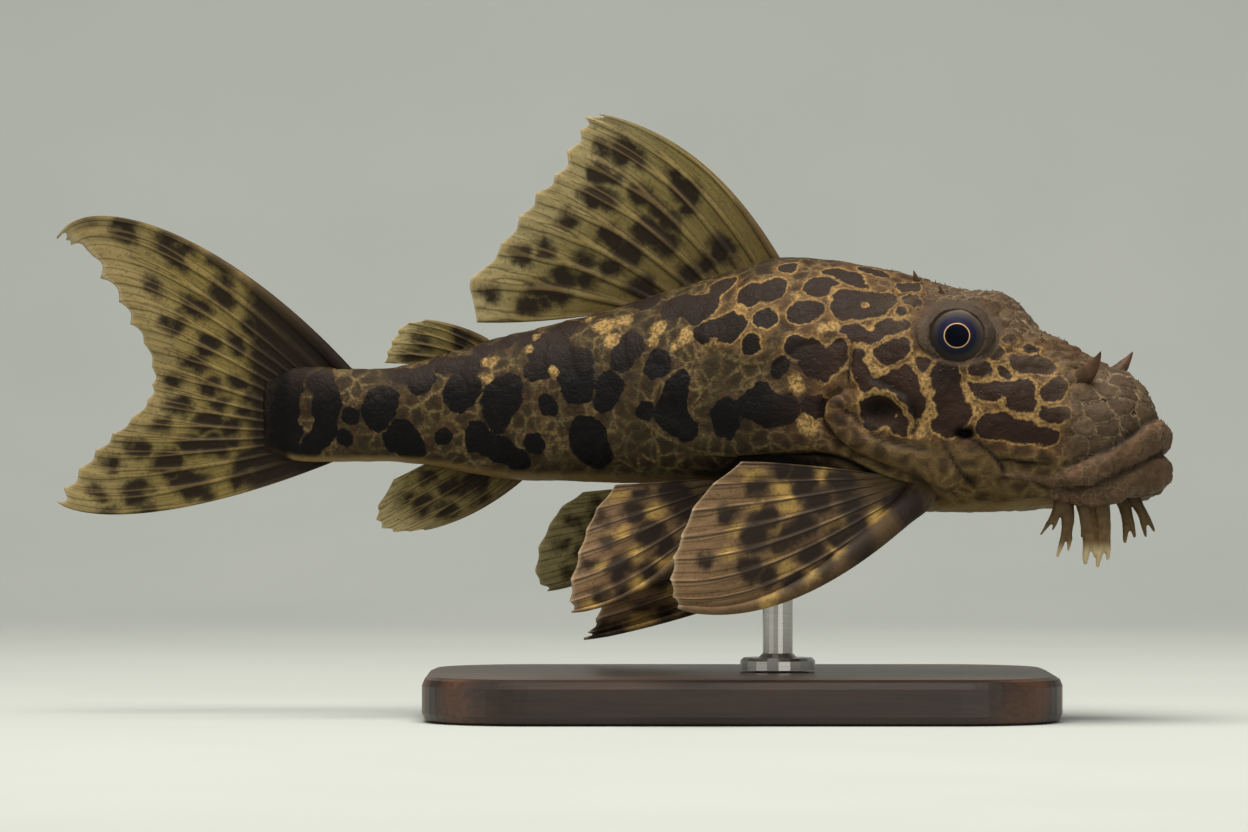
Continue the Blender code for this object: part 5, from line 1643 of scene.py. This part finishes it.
def skin_teeth(skin, look):
    """Small spines over the roof of the head and the snout, by Geometry Nodes on the finished skin."""
    tree = bpy.data.node_groups.new("skin_teeth", "GeometryNodeTree")
    face = tree.interface
    face.new_socket("Geometry", in_out="INPUT", socket_type="NodeSocketGeometry")
    face.new_socket("Geometry", in_out="OUTPUT", socket_type="NodeSocketGeometry")
    sizes = {}
    for name, kind, value in (
        ("Apart", "NodeSocketFloat", 0.75 * MM), ("Density", "NodeSocketFloat", 8.0e5),
        ("Length", "NodeSocketFloat", 0.3 * MM), ("Base", "NodeSocketFloat", 0.08 * MM),
        ("Seed", "NodeSocketInt", 4), ("Material", "NodeSocketMaterial", look),
    ):
        sizes[face.new_socket(name, in_out="INPUT", socket_type=kind).identifier] = value
    given = add(tree, "NodeGroupInput").outputs
    where = add(tree, "GeometryNodeInputNamedAttribute", {"Name": "teeth"}, data_type="FLOAT")
    scatter = add(
        tree, "GeometryNodeDistributePointsOnFaces",
        {"Mesh": given["Geometry"], "Distance Min": given["Apart"], "Density Max": given["Density"],
         "Density Factor": where, "Seed": given["Seed"]},
        distribute_method="POISSON",
    )
    spine = add(
        tree, "GeometryNodeMeshCone",
        {"Vertices": 6, "Side Segments": 2, "Radius Top": 0.02 * MM, "Radius Bottom": given["Base"],
         "Depth": given["Length"]},
    )
    # Each tooth's own shape, kept for its patch of the unwrap
    marked = add(
        tree, "GeometryNodeStoreNamedAttribute",
        {"Geometry": spine, "Name": "own", "Value": add(tree, "GeometryNodeInputPosition")},
        data_type="FLOAT_VECTOR",
    )
    ahead = add(tree, "ShaderNodeVectorMath", {0: scatter.outputs["Normal"], 1: TOOTH_LEAN}, operation="ADD")
    way = add(tree, "FunctionNodeAlignRotationToVector", {"Vector": ahead}, axis="Z")
    size = add(tree, "FunctionNodeRandomValue", {2: 0.5, 3: 1.25, "Seed": given["Seed"]}, data_type="FLOAT")
    placed = add(
        tree, "GeometryNodeInstanceOnPoints",
        {"Points": scatter, "Instance": marked, "Rotation": way, "Scale": size},
    )
    real = add(tree, "GeometryNodeRealizeInstances", {"Geometry": placed})
    dressed = add(tree, "GeometryNodeSetMaterial", {"Geometry": real, "Material": given["Material"]})
    add(tree, "NodeGroupOutput", {"Geometry": dressed})
    obj = bpy.data.objects.new("skin_teeth", skin.data.copy())
    bpy.context.scene.collection.objects.link(obj)
    grow = obj.modifiers.new("teeth", "NODES")
    grow.node_group = tree
    for socket, value in sizes.items():
        grow[socket] = value
    evaluated(obj)
    unwrap_teeth(obj.data)
    obj.data.shade_smooth()
    return obj


def unwrap_teeth(mesh):
    """Gives each tooth a small patch, seen along its axis, at its root's place on the unwrapped skin."""
    place, own = (np.empty(len(mesh.vertices) * 3, np.float32) for _ in range(2))
    mesh.attributes["unwrap"].data.foreach_get("vector", place)
    mesh.attributes["own"].data.foreach_get("vector", own)
    own = own.reshape(-1, 3)
    spread_out = own[:, :2] / np.maximum(np.linalg.norm(own[:, :2], axis=1), 1e-9)[:, None]
    spread_out *= TOOTH_PATCH / 2 * (1 - 0.8 * own[:, 2:] / own[:, 2].max())
    flat = place.reshape(-1, 3)[:, :2] + spread_out
    corner = np.empty(len(mesh.loops), np.int32)
    mesh.loops.foreach_get("vertex_index", corner)
    layer = mesh.uv_layers.new(name="OFBake")
    layer.data.foreach_set("uv", flat[corner].astype(np.float32).ravel())


def make_stage():
    """Floor and back wall in one sheet of pale paper, joined by a wide curve. Sizes in millimetres."""
    half_width, height, radius, front, back = 1600.0, 1200.0, 350.0, -1600.0, 750.0
    turns = np.linspace(0, math.pi / 2, 25)
    curve = zip(back - radius + radius * np.sin(turns), radius - radius * np.cos(turns))
    profile = [(front, 0.0), *curve, (back, height)]
    points = [(x, y, z) for y, z in profile for x in (-half_width, half_width)]
    faces = [(2 * k, 2 * k + 1, 2 * k + 3, 2 * k + 2) for k in range(len(profile) - 1)]
    floor = mesh_object("studio_floor", points, faces)
    floor.data.shade_smooth()
    floor.data.materials.append(backdrop_paper())


LIT_PLACE = Vector((0.0, 0.0, 0.04))
LAMPS = (
    # Name, place, size, power, colour
    ("overhead_softbox", (-0.02, -0.12, 0.6), 0.5, 7.0, "#fff8ee"),
    ("front_fill", (0.35, -1.0, 0.35), 0.7, 2.6, "#f4f4f0"),
    ("left_fill", (-0.8, -0.4, 0.3), 0.5, 1.3, "#f4f4f0"),
)
SKY = ("#e6e4de", 0.45)


def make_light():
    for name, place, size, power, colour in LAMPS:
        lamp = bpy.data.lights.new(name, "AREA")
        lamp.size = size
        lamp.energy = power
        lamp.color = linear(colour)[:3]
        obj = bpy.data.objects.new(name, lamp)
        obj.location = place
        obj.rotation_euler = (LIT_PLACE - Vector(place)).to_track_quat("-Z", "Y").to_euler()
        bpy.context.scene.collection.objects.link(obj)
    world = bpy.data.worlds.new("studio")
    world.use_nodes = True
    sky = world.node_tree.nodes["Background"].inputs
    sky["Color"].default_value = linear(SKY[0])
    sky["Strength"].default_value = SKY[1]
    bpy.context.scene.world = world
    bpy.context.scene.view_settings.view_transform = "Standard"


PICTURE_WIDTH = 1248
PIXELS_PER_MM = 7.5  # at the distance of the body
CAMERA_PLACE = Vector((-15.5, -900.0, 40.1))  # as far away as the photograph was measured for


def make_camera():
    """A level camera that frames the fish as the photograph does."""
    view = bpy.data.cameras.new("camera")
    view.sensor_width = 36.0
    view.lens = view.sensor_width * -CAMERA_PLACE.y / (PICTURE_WIDTH / PIXELS_PER_MM)
    view.clip_start = 0.05
    view.clip_end = 20.0
    obj = bpy.data.objects.new("camera", view)
    obj.location = CAMERA_PLACE * MM
    obj.rotation_euler = (math.pi / 2, 0, 0)
    bpy.context.scene.collection.objects.link(obj)
    bpy.context.scene.camera = obj


WEBS = {
    # Inner, middle and outer part, dark spots, light spots, and how much the crests of the rays show
    "olive": ("#5b4e2a", "#6e6239", "#93875f", "#140c09", "#a8954e", 0.3),
    "golden": ("#5f5028", "#78693a", "#8a7b52", "#120b0a", "#a8954e", 0.3),
    "brown": ("#4c3d2b", "#6a543b", "#7e644a", "#211a18", "#a88a4d", 0.08),
    "pale": ("#6a5c34", "#8f824c", "#958a60", "#1d150f", "#a8954e", 0.15),
}


def carried(piece, slot, *nodes):
    """Declares what a piece rides on, and the solids that it stands in for. The slot is not used."""
    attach(piece, "root")
    if nodes:
        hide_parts(*nodes)


def main():
    skin = make_skin(armoured_skin())
    spines = skin_teeth(skin, tooth_bone())
    carried(skin, "armoured_skin", "head", "trunk", "tail_stalk")
    carried(spines, "armoured_skin")

    webs = {name: fin_web("fin_web_" + name, *tones) for name, tones in WEBS.items()}
    for name, fin in FINS.items():
        carried(make_fin(name, fin, webs[fin["look"]]), "fin_membrane", name)
    ball = wet_eye()
    for side, name in ((-1, "eye_right"), (1, "eye_left")):
        carried(make_eye(name, side, ball), "wet_eye", name)
    horn = soft_flesh("horn_flesh", "#4d3c2c", "#6b4f38", "#22150f", 0.72)
    for name, (root, tip) in HORNS.items():
        carried(make_horn(name, root, tip, HORN_STOUT, horn), "soft_feeler", name)
    for name, (root, tip) in THORNS.items():
        carried(make_horn(name, root, tip, THORN_STOUT, horn), "soft_feeler")
    feeler = soft_flesh("feeler_flesh", "#4c3a24", "#7a6543", "#b0a27c", 0.84)
    for name, branches in FEELERS.items():
        carried(make_feeler(name, branches, feeler), "soft_feeler", name)
    for node, look in (("stand_base", stained_wood()), ("stand_rod", satin_steel())):
        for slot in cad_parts[node].material_slots:
            slot.material = look
    make_stage()
    make_light()
    make_camera()


main()
